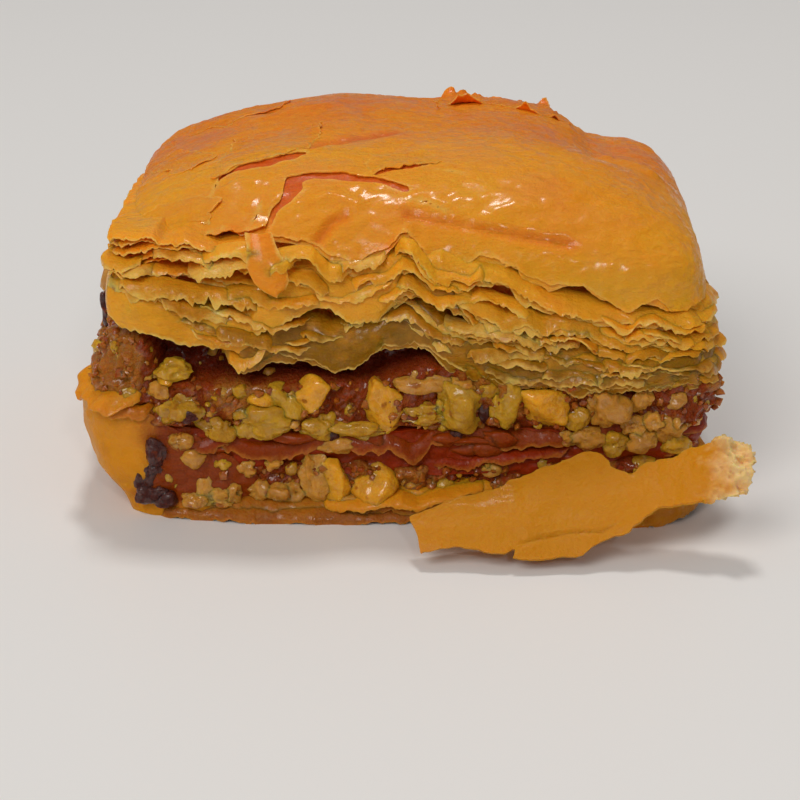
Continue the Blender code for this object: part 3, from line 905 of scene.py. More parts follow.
def build_lid_sides(lid, colours):
    """Sheet edges all round, and the larger torn sheets of the cut face over them."""
    material = pastry_paint("lid_sheets", colours, shine=lid.shine, edges=0.7, dry=0.57)
    thickness = lid.thickness / MM
    place = np.arange(17.0, ROUND - 17.0, 0.5)
    base = ring_at(place, LIP)
    low = lip_height(base[:, 0], base[:, 1])
    high = shoulder_height(base[:, 0])
    spacing = (high - low).max() / lid.sheets
    front = smooth((-base[:, 1] - HALF_DEPTH + 2.5) / 1.5)
    halves = Mesh(), Mesh()
    for k in range(lid.sheets):
        share = (k + 0.3) / lid.sheets
        circle = at_level(base, k * 9.0)
        height = blend(low, high, share) + rough_noise(circle, 7.0, k + 40) * 0.6
        out = rough_noise(circle, 4.0, k + 60, 4) * 0.55 - 0.05 - 1.5 * front
        # Partly painted light, partly real soaking: higher sheets more orange, lower ones more olive.
        hanging_sheet(halves[k % 2], place, height, out, spacing + 0.4, 2.0, 6, 0.25 + 0.5 * share,
                      thickness, k + 80, ragged=0.4, taper=3.0, crumple=1.4)
    halves[0].make("lid_sheets_round", material, "crust", "top_pastry")
    halves[1].make("lid_sheets_between", material, "crust", "top_pastry")

    upper, lower = Mesh(), Mesh()
    for k, (rim, rise, depth, bake, behind) in enumerate(FRONT_SHEETS):
        for again in range(behind + 1):
            place, height, out = traced(rim)
            height = height - 0.42 * again + line_noise(place, 4.0, k * 7 + again, 2) * 0.35 * again
            out = out - 0.28 * again + line_noise(place, 5.0, k * 5 + again, 2) * 0.2 * again
            rows, bulge = (17, 0.5) if rise > 3.0 else (8, 0.0)
            hanging_sheet(upper if k < 6 else lower, place, height, out, rise, depth, rows, bake, thickness,
                          k * 11 + again * 3 + 7, bulge=bulge, pale=0.5 if k > 8 else 1.0)
    tongue(upper, thickness)
    for k, (rim, rise, depth) in enumerate(PALE_SHEETS):
        hanging_sheet(upper, *traced(rim, 0.12), rise, depth, 9, 0.3, thickness, k + 700, ragged=0.6,
                      taper=0.8, crumple=1.5, pale=6.0)
    wisps(upper, lid.wisps, thickness, 900, (-22.0, 23.0), (0.08, 0.95))
    wisps(lower, lid.wisps // 4, thickness, 960, (4.0, 23.0), (-0.05, 0.3))
    upper.make("lid_sheets_front_upper", material, "crust", "top_pastry")
    lower.make("lid_sheets_front_lower", material, "crust", "top_pastry")


def wisps(mesh, count, thickness, seed, places, shares):
    """Short torn edges of thin sheets over the larger ones of the cut face."""
    random = np.random.default_rng(seed)
    for number in range(count):
        middle = random.uniform(*places)
        half = random.uniform(2.0, 6.0)
        place = np.arange(middle - half, middle + half, 0.16)
        low = lip_height(place, place * 0.0 - HALF_DEPTH) + 0.8
        high = np.interp(place, *CRUST_EDGE) - 0.6
        share = random.uniform(*shares)
        height = blend(low, high, share) + line_noise(place, 5.0, seed + number, 2) * 0.7
        pocket = smooth((place + 12.0) / 2.0) * smooth((3.0 - place) / 3.0) * smooth((0.45 - share) / 0.15)
        out = blend(1.1, 0.65, smooth((place + 8.0) / 8.0)) - 0.9 * pocket
        out = out + line_noise(place, 3.0, seed + number + 50, 3) * 0.3
        # Partly painted light, as on the larger sheets: higher wisps more orange.
        hanging_sheet(mesh, place, height, out, random.uniform(0.3, 0.9), 1.3, 6, 0.05 + 0.65 * share,
                      thickness, seed + number, ragged=0.6, taper=1.5, crumple=1.5,
                      pale=random.choice([1.0, 1.5, 5.0], p=[0.5, 0.3, 0.2]))


def tongue(mesh, thickness):
    """A narrow flap that hangs from the crust over the cut face."""
    v = np.linspace(0.0, 1.0, 40)[:, None]
    u = np.linspace(-1.0, 1.0, 24)[None, :]
    half = np.interp(v, (0.0, 0.25, 0.5, 0.75, 0.9, 1.0), (0.9, 1.2, 1.4, 1.2, 0.8, 0.12))
    middle = np.interp(v, (0.0, 0.3, 0.6, 1.0), (-10.4, -10.0, -9.6, -9.0))
    frill = line_noise(v[:, 0] * 6.0, 0.8, 95, 3)[:, None] * 0.1
    place = middle + u * (half + frill)
    z = blend(23.0, 18.5, v) + 0.15 * u * v
    out = 0.3 + 1.4 * np.sin(math.pi * np.clip(v * 0.7, 0.0, 1.0)) - 0.35 * u**2
    points, _ = outline(angle_at(place), z, out)
    rim = np.minimum((1.0 - np.abs(u)) * half, (1.0 - v) * 4.0)
    layers = {"rim": rim.ravel(), "bake": (1.05 + rim * 0.0).ravel()}
    mesh.add_shell(points.reshape(-1, 3), grid_faces(*z.shape)[:, ::-1], thickness, layers)


def build_lid_core(colours):
    """The closed heart of the lid behind its sheets."""
    angles = even_angles(0.9)
    base, _ = outline(angles, LIP + angles * 0.0)
    low = lip_height(base[:, 0], base[:, 1]) + 0.7
    high = shoulder_height(base[:, 0]) - 0.6
    sides = [outline(angles, blend(low, high, share), -2.4)[0] for share in np.linspace(0.0, 1.0, 7)]
    below = [sides[0] * [share, share, 1.0] for share in (0.3, 0.6, 0.85)]
    x, y, _ = sides[-1].T
    above = [on_crown(x * share, y * share) - [0.0, 0.0, 1.6] for share in (0.97, 0.9, 0.8, 0.65, 0.45, 0.25)]
    points, faces = ring_solid(below + sides + above)
    core = Mesh()
    core.add(points, faces, rim=FAR_FROM_RIM, bake=1.2)
    core.make("lid_core", pastry_paint("lid_core", colours, 0.2), "crust", "top_pastry")


# ---- fillings


def filling_paint(name, colours):
    """Dark syrupy paste with paler, greener crumbs in it, painted darker as painted shade deep in the hollow
    under the lid.
    """
    paint = syrupy(name, 1.6, (1.0, 0.3, 0.06), index=1.25, coat=1.45)
    lumps = paint.layer("lump")
    blotch = paint.noise(2.2, 4.0)
    crumb = paint.noise(0.6, 4.0, roughness=0.65)
    base = paint.mix((blotch + crumb * 0.4).step(0.55, 0.8), colours.paste, colours.jelly)
    base = paint.mix((lumps * 0.8 + crumb * 0.7 + blotch * 0.3).step(0.62, 0.9), base, colours.crumb)
    # Painted shade: deep in the hollow under the lid the paste turns to the hollow colour.
    base = paint.mix(paint.layer("dark"), base, colours.hollow)
    grain = paint.noise(0.3, 2.0, roughness=0.65)
    wet = paint.noise(0.7, 3.0).step(0.48, 0.56)
    return paint.finish(
        Base_Color=base, Roughness=0.45, Coat_Weight=0.9 * wet,
        Normal=paint.bump(grain * 0.5 + crumb * 1.2, 0.3),
    )


# Where the hollow under the lid begins: height by place across
HOLLOW_EDGE = ((-19.5, -18, -2, 2, 5, 7, 17), (16, 11, 11, 12.4, 12.2, 11.2, 11.4))


def filling_points(angle, z, low, high, seed, cavity):
    """Places on the lumpy side of a filling, how lumpy each is, and how deep it lies in the hollow, which
    sets its painted shade.
    """
    flat, outward = outline(angle, z, z * 0.0 - 0.25)
    x, y = flat[..., 0], flat[..., 1]
    lumps = rough_noise(flat, 2.6, seed, 4)
    fine = rough_noise(flat, 0.8, seed + 1, 3)
    grain = rough_noise(flat, 0.34, seed + 2, 2)
    front = smooth((-y - 12.0) / 4.0)
    lumps = lumps + 0.7 * front * smooth((-18.5 - x) / 1.5) * smooth((z - 9.0) / 1.5)
    hollow = cavity * front * smooth((z - np.interp(x, *HOLLOW_EDGE)) / 0.9) * (2.6 + lumps)
    edge = smooth((z - low) / 0.5) * smooth((high - z) / 0.5)
    full = 0.8 * smooth((x - 19.0) / 3.0) * front
    out = (lumps * 0.9 + fine * 0.6 + grain * 0.22) * edge - hollow - 0.6 * (1.0 - edge) + full
    return flat + outward * out[..., None], lumps, np.clip(hollow / 2.0, 0.0, 1.0), outward


def filling_core(name, node, low, high, seed, cavity, colours):
    """The body of a filling, closed above and below."""
    z = np.linspace(low, high, max(int((high - low) / 0.22), 6))
    angles, heights = np.meshgrid(even_angles(0.24), z)
    points, lumps, dark, _ = filling_points(angles, heights, low, high, seed, cavity)
    mesh = Mesh("lump", "dark")
    mesh.add(*stacked(points), lump=stacked_values(lumps, 0.0), dark=stacked_values(dark, 0.0))
    mesh.make(name, filling_paint(name, colours), "nut_filling", node)


def ball(detail):
    """The directions and faces of an even ball."""
    made = bmesh.new()
    bmesh.ops.create_icosphere(made, subdivisions=detail, radius=1.0)
    points = np.array([v.co[:] for v in made.verts])
    faces = np.array([[v.index for v in face.verts] for face in made.faces])
    made.free()
    return unit(points), faces


BALLS = {detail: ball(detail) for detail in (1, 2, 3, 4, 5)}
NUT_FACES = 9
NUT_SHARPNESS = 12.0


def nut(centre, size, detail, seed, rough=0.1, turn=True):
    """One chopped piece: cut faces, a little rounded, with fine lumps on them."""
    random = np.random.default_rng(seed)
    points, faces = BALLS[detail]
    cuts = unit(random.normal(size=(NUT_FACES, 3)))
    offsets = random.uniform(0.6, 0.95, NUT_FACES)
    reach = np.clip(points @ cuts.T, 1e-3, None) / offsets
    radius = np.minimum((reach**NUT_SHARPNESS).sum(1) ** (-1.0 / NUT_SHARPNESS), 1.25)
    radius = radius * (1.0 + rough * 1.3 * rough_noise(points + seed * 3.1, 0.9, seed, 3))
    radius = radius * (1.0 + rough * 0.4 * rough_noise(points + seed * 1.7, 0.26, seed + 1, 2))
    shaped = points * radius[:, None] * np.asarray(size) * 0.55
    if turn:
        axes = np.linalg.qr(random.normal(size=(3, 3)))[0]
        if np.linalg.det(axes) < 0.0:
            axes[0] = -axes[0]
        shaped = shaped @ axes
    skin = rough_noise(points + seed * 2.3, 0.6, seed + 2, 2)
    return shaped + np.asarray(centre), faces, {"tone": random.uniform(0.0, 1.0), "skin": skin}


def lump(centre, size, detail, seed):
    """A soft, crumbly piece with an uneven outline."""
    random = np.random.default_rng(seed)
    points, faces = BALLS[detail]
    place = points + seed * 2.7
    radius = 0.95 + 0.75 * rough_noise(place, 1.1, seed, 2)
    radius = radius + 0.36 * (0.25 - np.abs(rough_noise(place, 0.5, seed + 1, 2)))
    radius = radius + 0.06 * rough_noise(place, 0.2, seed + 2, 1)
    shaped = points * radius[:, None] * np.asarray(size) * 0.55
    skin = rough_noise(place, 0.6, seed + 3, 2)
    return shaped + np.asarray(centre), faces, {"tone": random.uniform(0.0, 0.6), "skin": skin}


def nut_paint(name, colours, fresh, dull):
    """Chopped nuts from a fresh colour to a dull one, with browner skins and syrup over them."""
    paint = syrupy(name, 0.9, (1.0, 0.62, 0.2), index=1.25, coat=1.45, share=0.8)
    blotch = paint.noise(1.0, 4.0)
    base = paint.mix((paint.layer("tone") * 0.7 + blotch * 1.6 - 0.75).clamped(), fresh, dull)
    base = paint.mix((paint.layer("skin") + blotch * 0.6).step(0.75, 0.95) * 0.6, base, colours.paste)
    grain = paint.noise(0.3, 2.0, roughness=0.6)
    wet = paint.noise(0.6, 3.0).step(0.44, 0.54)
    return paint.finish(
        Base_Color=base, Roughness=0.45, Coat_Weight=wet,
        Normal=paint.bump(grain * 0.4 + blotch * 1.4, 0.2),
    )


# Nuts that stand out at the cut face, by kind: place across, height, out, size, seed
FACE_NUTS = {
    "yellow": (
        (10.7, 8.9, 0.1, (4.9, 3.2, 3.4), 3), (-1.5, 9.7, 0.1, (2.9, 2.6, 4.3), 8),
        (-2.3, 2.4, 0.6, (3.6, 3, 3.3), 5), (-5.2, 3.1, 0.3, (2.4, 2.4, 3), 12),
        (-6.8, 10.2, 0.2, (2.9, 2.2, 2.3), 21), (-10.7, 9.9, 0.1, (2.3, 1.8, 1.7), 22),
        (-13.5, 10.1, 0, (1.5, 1.3, 1.3), 23),
    ),
    "green": (
        (-17.2, 3.3, 0.2, (2, 1.6, 2.3), 24), (-16.4, 9, -0.2, (3, 2, 2.6), 31),
        (-17.1, 12.2, -0.3, (2.6, 2, 1.5), 32), (-10.3, 7.9, 0.2, (4.2, 2.4, 2.5), 33),
        (-8.7, 9.6, -0.1, (2.3, 2, 2.3), 34), (4.5, 9.6, -0.2, (3.6, 2.6, 3.3), 35),
        (7.7, 9.7, -0.1, (2.4, 2.2, 3.3), 36), (1.8, 8.6, 0, (4.4, 2.2, 1.9), 37),
        (-6.2, 7.8, 0, (2.6, 1.8, 1.6), 38), (-3.2, 7.4, 0, (3.6, 1.8, 1.4), 39),
        (23.1, 9.3, 0, (1.9, 2.2, 2.8), 40), (-13.7, 7.4, -0.1, (2.6, 1.6, 1.4), 41),
        (-19.7, 13.4, -0.4, (1.5, 1.2, 1.2), 68), (-20.3, 10.2, 0, (1.7, 1.2, 1.1), 69),
        (-13.6, 4.5, 0, (1.3, 1, 1), 91), (16.2, 6.1, 0.1, (1.9, 1.4, 1.5), 99),
        (21.2, 5.9, 0.2, (2, 1.5, 1.6), 102), (13.4, 8.4, 0, (1.5, 1.3, 1.9), 104),
    ),
    "beige": (
        (15.8, 9.2, -0.1, (3.2, 2.4, 3.3), 51), (17.7, 7.6, 0.2, (1.6, 1.4, 1.4), 52),
        (19.3, 7.9, 0.2, (1.3, 1.2, 1.3), 53), (-14.5, 2.4, 0.3, (2, 1.5, 2.1), 54),
        (-12.8, 2.2, 0.2, (1.5, 1.4, 1.5), 55), (-10.9, 2.2, 0.2, (1.8, 1.4, 1.6), 56),
        (-8, 2, 0.3, (2.3, 1.6, 2.2), 57), (-6.6, 3.4, 0.1, (2.2, 1.4, 3.6), 58),
        (-4.4, 1.5, 0.2, (4.4, 1.8, 1.9), 59), (1.8, 11.2, -0.1, (3.4, 1.3, 1.7), 60),
        (4.6, 11, 0, (1.8, 1.2, 1.2), 61), (-4.5, 6.2, -0.1, (2.4, 1.4, 1.4), 62),
        (12.6, 6.6, 0.1, (1.7, 1.2, 1.2), 63), (-20.8, 12.6, -0.3, (1.6, 1.2, 1.6), 64),
        (-19.6, 11.4, -0.2, (1.5, 1.2, 1.3), 65), (-21.2, 14.2, -0.4, (1.4, 1.2, 1.2), 66),
        (-18.4, 10.4, -0.1, (1.4, 1.2, 1.2), 67), (-15.8, 5, 0.1, (1.6, 1.1, 1.3), 90),
        (-11.7, 4.1, 0.1, (1.5, 1.1, 1.2), 92), (-16.8, 6.5, 0.2, (1.4, 1.2, 1.2), 93),
        (-9.7, 4.4, 0, (1.3, 1, 1), 94), (-13.6, 1.7, 0.7, (2.6, 1.5, 1.5), 95),
        (-9.5, 1.9, 0.5, (2, 1.4, 1.6), 96), (-15.6, 1.6, 0.8, (1.5, 1.2, 1.2), 97),
        (14.2, 6.7, 0, (2.2, 1.5, 1.6), 98), (18.4, 6.5, 0.2, (2.4, 1.6, 1.7), 100),
        (20.4, 7.3, 0.2, (1.9, 1.5, 1.8), 101), (22.4, 7.6, 0, (1.8, 1.6, 1.5), 103),
        (18.4, 9.6, -0.1, (1.6, 1.3, 1.7), 105), (20.8, 9.4, -0.1, (1.7, 1.3, 1.4), 106),
    ),
}

# Dark nut skins: place across, height, out, size, seed
SKINS = (
    (-18.4, 5.5, 0.7, (1.6, 1.1, 1.7), 71), (-18.8, 4.4, 0.8, (1.5, 1.1, 1.9), 72),
    (-19.3, 3.2, 1, (1.8, 1.1, 2.2), 73), (-18.7, 2.2, 1.1, (2.2, 1.1, 1.7), 79),
    (-18, 1.6, 1.1, (1.6, 1, 1.2), 80), (-22.8, 13.2, 0.5, (1.4, 1.4, 3.4), 74),
    (-5, 6.9, 0.3, (0.8, 0.5, 0.9), 75), (6.4, 8.8, -0.1, (0.7, 0.6, 1.6), 76),
    (-15.9, 8.6, 1, (1.1, 0.5, 0.7), 77), (4.2, 6.9, 0.1, (1, 0.6, 0.7), 78),
)


def build_fillings(filling, colours):
    """Two fillings with chopped nuts standing out of them."""
    upper = (NUTS_LOW[2], NUTS_HIGH[2] - 0.2, 101, 1.0)
    lower = (LOWER_LOW[2], LOWER_HIGH[2], 131, 0.0)
    filling_core("upper_paste", "upper_nuts", *upper, colours)
    filling_core("lower_paste", "lower_nuts", *lower, colours)
    kinds = {name: Mesh("tone", "skin") for name in FACE_NUTS}
    for kind, entries in FACE_NUTS.items():
        for x, z, out, size, seed in entries:
            spot = front_spot(x, z, out - size[1] * 0.28)
            detail = 5 if max(size) > 2.5 else 4
            if kind == "yellow":
                points, faces, layers = nut(spot, size, detail, seed, turn=False)
                layers["tone"] *= 0.3
            else:
                points, faces, layers = lump(spot, np.array(size) * 1.05, detail, seed)
            kinds[kind].add(points, faces, **layers)

    random = np.random.default_rng(filling.seed)

    def scatter():
        """A random place on a filling's side, how deep it lies, and the outward direction."""
        low, high, seed, cavity = upper if random.random() < 0.7 else lower
        angle = np.array([angle_at(random.uniform(0.0, ROUND))])
        height = np.array([random.uniform(low + 0.3, high - 0.3)])
        spot, _, dark, outward = filling_points(angle, height, low, high, seed, cavity)
        return spot[0], dark[0], outward[0]

    for number in range(filling.nuts):
        spot, dark, outward = scatter()
        size = np.clip(random.lognormal(0.3, 0.4), 0.6, 3.0)
        if spot[1] < -11.0:
            size = min(size * 0.6, 1.3)
        kind = random.choice(["yellow", "green", "beige"], p=[0.2, 0.45, 0.35])
        stretch = random.uniform(0.75, 1.3, 3) * size * (0.7 if dark > 0.5 else 1.0)
        centre = spot - outward * size * random.uniform(0.1, 0.3)
        detail = 3 if size > 1.6 else 2
        if kind == "yellow":
            points, faces, layers = nut(centre, stretch, detail, 1000 + number, rough=0.16)
        else:
            points, faces, layers = lump(centre, stretch * 1.1, detail, 1000 + number)
        kinds[kind].add(points, faces, **layers)
    for kind, mesh in kinds.items():
        material = nut_paint("nuts_" + kind, colours, getattr(colours, kind + "_nut"), colours.dull_nut)
        mesh.make("nuts_" + kind, material, "nut_filling", "upper_nuts", "lower_nuts")

    crumbs = Mesh("tone", "skin")
    for number in range(filling.crumbs):
        spot, dark, outward = scatter()
        if dark > 0.3:
            continue
        size = random.uniform(0.25, 0.75)
        points, faces, layers = nut(spot, random.uniform(0.7, 1.3, 3) * size, 1, 5000 + number, rough=0.25)
        crumbs.add(points, faces, **layers)
    material = nut_paint("crumbs", colours, colours.crumb, colours.jelly)
    crumbs.make("crumbs", material, "nut_filling", "upper_nuts", "lower_nuts")

    skins = Mesh("tone", "skin")
    for x, z, out, size, seed in SKINS:
        points, faces, layers = lump(front_spot(x, z, out - 0.3), size, 4, seed)
        skins.add(points, faces, **layers)
    material = nut_paint("skins", colours, colours.skin, colours.skin)
    skins.make("skins", material, "nut_filling", "upper_nuts", "lower_nuts")


# ---- middle and bottom pastry

SOAKED_THICKNESS = 0.2
BOTTOM_THICKNESS = 0.22


def wet_paint(name, colours, tones, shine):
    """Sheets soaked in syrup: two tones over the layer "bake", paler at the rims."""
    paint = syrupy(name, 0.8, (1.0, 0.5, 0.12))
    blotch = paint.noise(2.5, 4.0)
    tone = (paint.layer("bake") + blotch - 0.5).clamped()
    base = paint.mix(tone, *tones)
    rim = paint.layer("rim") + paint.noise(0.9, 4.0) * 0.8
    base = paint.mix((1.0 - rim.step(0.35, 0.8)) * 0.5, base, colours.jelly_rim)
    grain = paint.noise(0.32, 2.0, roughness=0.6)
    wet = (paint.noise(4.0, 3.0) * 0.8 + paint.noise(0.5, 2.0) * 0.5).step(0.6, 0.72)
    return paint.finish(
        Base_Color=base, Roughness=0.45, Coat_Weight=wet * shine,
        Normal=paint.bump(grain * 0.4 + blotch * 2.0, 0.2),
    )


# Rims of the middle sheets at the cut face as (place, height, out), then rise, depth and bake
MIDDLE_SHEETS = (
    (((-15, 6.6, -0.6), (-13, 5.8, 0), (-11.8, 5.2, 0.1), (-10.5, 4.9, 0.2), (-8, 5.2, 0.2),
      (-6.2, 5.9, 0.1), (-4.5, 6.1, 0.1), (-3, 5.7, 0.2), (-1, 6.1, 0.2), (0.2, 5.5, 0.35), (0.9, 4.9, 0.4),
      (1.7, 5.3, 0.4), (2.4, 6.1, 0.3), (4.5, 6, 0.1), (7, 6.1, 0.1), (9, 5.8, 0), (11, 6, 0.1),
      (14, 6.4, 0), (17, 6.7, -0.1), (21, 6.7, -0.5)), 1.5, 1.4, 0.1),
    (((0.5, 3.4, -0.7), (2, 4, -0.1), (3.5, 4.5, 0.1), (5, 4.3, 0.2), (6.5, 4.9, 0.2), (9, 5, 0.1),
      (12, 5.3, -0.2), (15, 5.5, -0.7)), 0.8, 1.6, 0.9),
    (((-19.6, 6.6, -0.4), (-17.5, 6, 0), (-15, 5.6, 0.1), (-13, 6, 0), (-11, 6.6, -0.4)), 1.2, 1.4, 0.3),
)


def build_middle(pastry, colours):
    """Soaked sheets between the fillings, run together like jelly."""
    material = wet_paint("middle_sheets", colours, (colours.jelly, colours.red_jelly), 0.22)
    z = np.linspace(MIDDLE_LOW[2] - 1.1, MIDDLE_HIGH[2] + 0.2, 26)
    angles, heights = np.meshgrid(even_angles(0.3), z)
    flat, outward = outline(angles, heights, 0.0)
    waves = rough_noise(flat * [0.5, 0.5, 1.0], 1.5, 151, 4)
    level = heights + rough_noise(flat * [1.0, 1.0, 0.0], 6.0, 152, 2) * 0.5
    ledge = rough_noise(flat * [0.25, 0.25, 1.0], 0.8, 153, 2) * 0.3
    slope = -0.2 - 0.3 * smooth((level - 3.6) / 1.2)
    points = flat + outward * (slope + ledge + waves * 0.7 + rough_noise(flat, 0.6, 154, 2) * 0.12)[..., None]
    core = Mesh()
    core.add(*stacked(points), rim=FAR_FROM_RIM, bake=stacked_values(0.75 + waves * 0.4, 0.5))
    core.make("middle_core", material, "soaked_pastry", "middle_pastry")

    mesh = Mesh()
    place = np.arange(19.0, ROUND - 19.0, 0.5)
    base = ring_at(place, 6.0)
    for k in range(4):
        circle = at_level(base, k * 7.0)
        height = 4.3 + k * 0.75 + rough_noise(circle, 5.0, 160 + k) * 0.4
        out = rough_noise(circle, 4.0, 170 + k) * 0.5 - 0.2
        hanging_sheet(mesh, place, height, out, 0.8, 1.4, 6, 0.3 + 0.2 * k, SOAKED_THICKNESS, 180 + k,
                      ragged=0.4, taper=3.0)
    for k, (rim, rise, depth, bake) in enumerate(MIDDLE_SHEETS):
        hanging_sheet(mesh, *traced(rim), rise, depth, 13, bake, SOAKED_THICKNESS, k + 190, ragged=0.5,
                      taper=2.5)
    random = np.random.default_rng(197)
    for number in range(pastry.lumps):
        spot = front_spot(random.uniform(-14.0, 9.0), random.uniform(5.7, 6.8), random.uniform(-0.7, -0.3))
        size = random.uniform((1.8, 1.0, 0.8), (3.6, 1.4, 1.4))
        points, faces, _ = lump(spot, size, 3, 600 + number)
        mesh.add(points, faces, rim=1.3, bake=random.uniform(-0.4, 0.1))
    mesh.make("middle_sheets", material, "soaked_pastry", "middle_pastry")


# Rims of the bottom sheets at the cut face as (place, height, out), then rise, depth and bake
BOTTOM_SHEETS = (
    (((-20.5, 0.4, -0.2), (-18, 0.1, 1), (-12, 0.1, 1.7), (-8, 0.1, 1.8), (-3, 0.1, 1.9), (0, 0.15, 2),
      (3, 0.15, 1.7), (8, 0.15, 1.2), (14, 0.15, 1.4), (20, 0.3, 0.8)), 1.3, 3.2, 0.1),
    (((-19, 0.8, -0.3), (-15, 0.7, 0.6), (-11, 0.6, 1), (-8, 0.6, 1.1), (-5.5, 0.6, 1.1), (-2, 0.5, 1.3),
      (-0.6, 0.9, 1.4), (1, 0.5, 1.7), (2.2, 0.9, 1.6), (4, 1, 1.1), (8, 1.2, 0.8), (20, 1.4, 0.3)), 1.2,
      2.4, 0.3),
    (((-2.6, 2.4, -0.4), (0, 1.9, 0.6), (2, 1.8, 0.9), (5, 2.1, 0.7), (9, 2.5, 0.2), (14, 2.7, 0),
      (21, 2.9, 0)), 1, 2.2, 1.1),
    # The corner under the flake is painted golden: partly its own colour, partly painted light where the
    # flake's shadow falls.
    (((9, 0.5, 0.6), (12, 0.2, 1.4), (14.5, 0.1, 2), (17.3, 0.1, 2.5), (19.2, 0.1, 2.7), (21.5, 0.3, 2.4),
      (24, 0.9, 1.9), (27, 1.7, 1), (31, 2.4, 0.3), (36, 3, -0.3)), 3.4, 2.9, 1.6),
    (((-6.5, 0.9, 0.6), (-4.5, 1.1, 1.4), (-2, 1.4, 1.8), (0, 1.7, 2), (1.4, 1.3, 2.1), (2.6, 1.8, 1.8),
      (4.5, 2, 1.4), (7, 2.4, 0.6)), 0.8, 2, 1.3),
)


# The turned-up left end: place round the piece and the height of its rim
WALL_RIM = (
    (-64, -60, -52, -41, -32, -26, -23, -21.5, -20.4, -19, -17.5, -16, -14, -12, -10, -8.5),
    (2, 7, 9.4, 9.9, 9.6, 9.2, 9.5, 9.4, 9.2, 8.5, 7.6, 6.6, 5.6, 4.4, 2.6, 1.2),
)


# Torn scraps at the left end: rim, then rise, depth, turn and bake
SHARDS = (
    (((-27, 10.2, 0.4), (-25.6, 9.6, 1.3), (-24.4, 9.1, 1.6), (-22.6, 9, 1.1), (-20.8, 9.3, 1.1),
      (-19.2, 9.8, 0.7)), 1.2, 2, 0.8, 1.25),
    (((-22, 8.9, 0.8), (-20.8, 8.8, 1.1), (-19.6, 8.4, 1.1), (-18.6, 8.8, 0.7)), 0.8, 1, 0.8, 0.6),
)


def build_bottom(colours):
    """Thin sheets on the floor, turned up at the left end."""
    tones = (colours.base_low, colours.base_high)
    material = wet_paint("bottom_sheets", colours, tones, 0.5)
    mesh = Mesh()
    place = np.arange(0.0, ROUND, 0.6)
    base = ring_at(place, 1.0)
    front = smooth((-base[:, 1] - HALF_DEPTH + 2.5) / 1.5)
    for k in range(3):
        circle = at_level(base, k * 7.0)
        height = 0.3 + k * 0.5 + np.abs(rough_noise(circle, 5.0, 210 + k)) * 0.3
        out = rough_noise(circle, 4.0, 220 + k) * 0.3 + 0.1 - 0.6 * front
        hanging_sheet(mesh, place, height, out, 0.7, 2.0, 6, 0.5 + 0.2 * k, BOTTOM_THICKNESS, 230 + k,
                      ragged=0.15, closed=True)
    for k, (rim, rise, depth, bake) in enumerate(BOTTOM_SHEETS):
        hanging_sheet(mesh, *traced(rim), rise, depth, 9, bake, SOAKED_THICKNESS, k + 240, ragged=0.4)
    mesh.make("bottom_sheets", material, "bottom_pastry", "bottom_pastry")

    core = Mesh()
    angles = even_angles(0.8)
    rings = [outline(angles, angles * 0.0 + z, -1.6)[0] for z in (0.05, 0.9, 1.7, 2.2)]
    core.add(*stacked(rings), rim=FAR_FROM_RIM, bake=0.3)
    core.make("bottom_core", wet_paint("bottom_core", colours, tones, 0.9), "bottom_pastry", "bottom_pastry")

    wall = Mesh()
    for layer in range(2):
        place = np.arange(WALL_RIM[0][0] + layer * 1.2, WALL_RIM[0][-1] - layer * 0.5, 0.4)
        rim = np.interp(place, *WALL_RIM) + line_noise(place, 2.0, 250 + layer, 4) * 0.5 + layer * 0.3
        share = np.linspace(0.0, 1.0, 30)[:, None]
        z = blend(0.05 + share * 0.0, np.maximum(rim, 0.4)[None], share)
        where = np.broadcast_to(angle_at(place), z.shape)
        toward = smooth((place + 21.5) / 6.5)
        out = 0.7 - 0.4 * layer + 0.25 * np.sin(math.pi * share) - 0.35 * share**4 - toward * 1.05
        out = out + 0.5 * toward * (1.0 - share) ** 2
        flat = np.stack([np.broadcast_to(place, z.shape), z, z * 0.0], -1)
        out = out + rough_noise(flat, 4.0, 260, 3) * 0.35
        out = out + rough_noise(flat, 1.1, 270, 3) * (0.12 + 0.35 * toward)
        points, _ = outline(where, z, out)
        tone = 1.05 + rough_noise(flat, 2.5, 275, 4) * 0.7 - 1.5 * toward * smooth((z - 0.9) / 1.2)
        layers = {"rim": ((1.0 - share) * rim[None] + 0.4 + 2.0 * toward).ravel(), "bake": tone.ravel()}
        wall.add_shell(points.reshape(-1, 3), grid_faces(*z.shape)[:, ::-1], SOAKED_THICKNESS, layers)
    for k, (rim, rise, depth, turn, bake) in enumerate(SHARDS):
        hanging_sheet(wall, *traced(rim, 0.16), rise, depth, 14, bake, BOTTOM_THICKNESS, k + 280, turn,
                      ragged=0.6, taper=0.7, crumple=2.2)
    material = wet_paint("bottom_wall", colours, (colours.jelly, colours.base_high), 0.3)
    wall.make("bottom_wall", material, "bottom_pastry", "bottom_pastry")


# ---- the loose flake

# The flake's smooth surface runs between two lines: places across, then out and up
FLAKE_ACROSS = (-0.5, 4, 8, 12, 15, 18, 21, 24, 27)
FLAKE_UPPER = (
    (-24.8, -23.2, -22, -20.8, -20.3, -20.4, -21, -21.8, -23.6),
    (2.9, 4, 4.9, 6, 6.6, 6.7, 7.2, 8.8, 9.3),
)
FLAKE_LOWER = (
    (-26.5, -27, -27.3, -27.3, -26.8, -26, -26.2, -26.2, -25.2),
    (1.3, 1.4, 1.3, 1.1, 1.8, 3.6, 4.8, 5.3, 6.6),
)

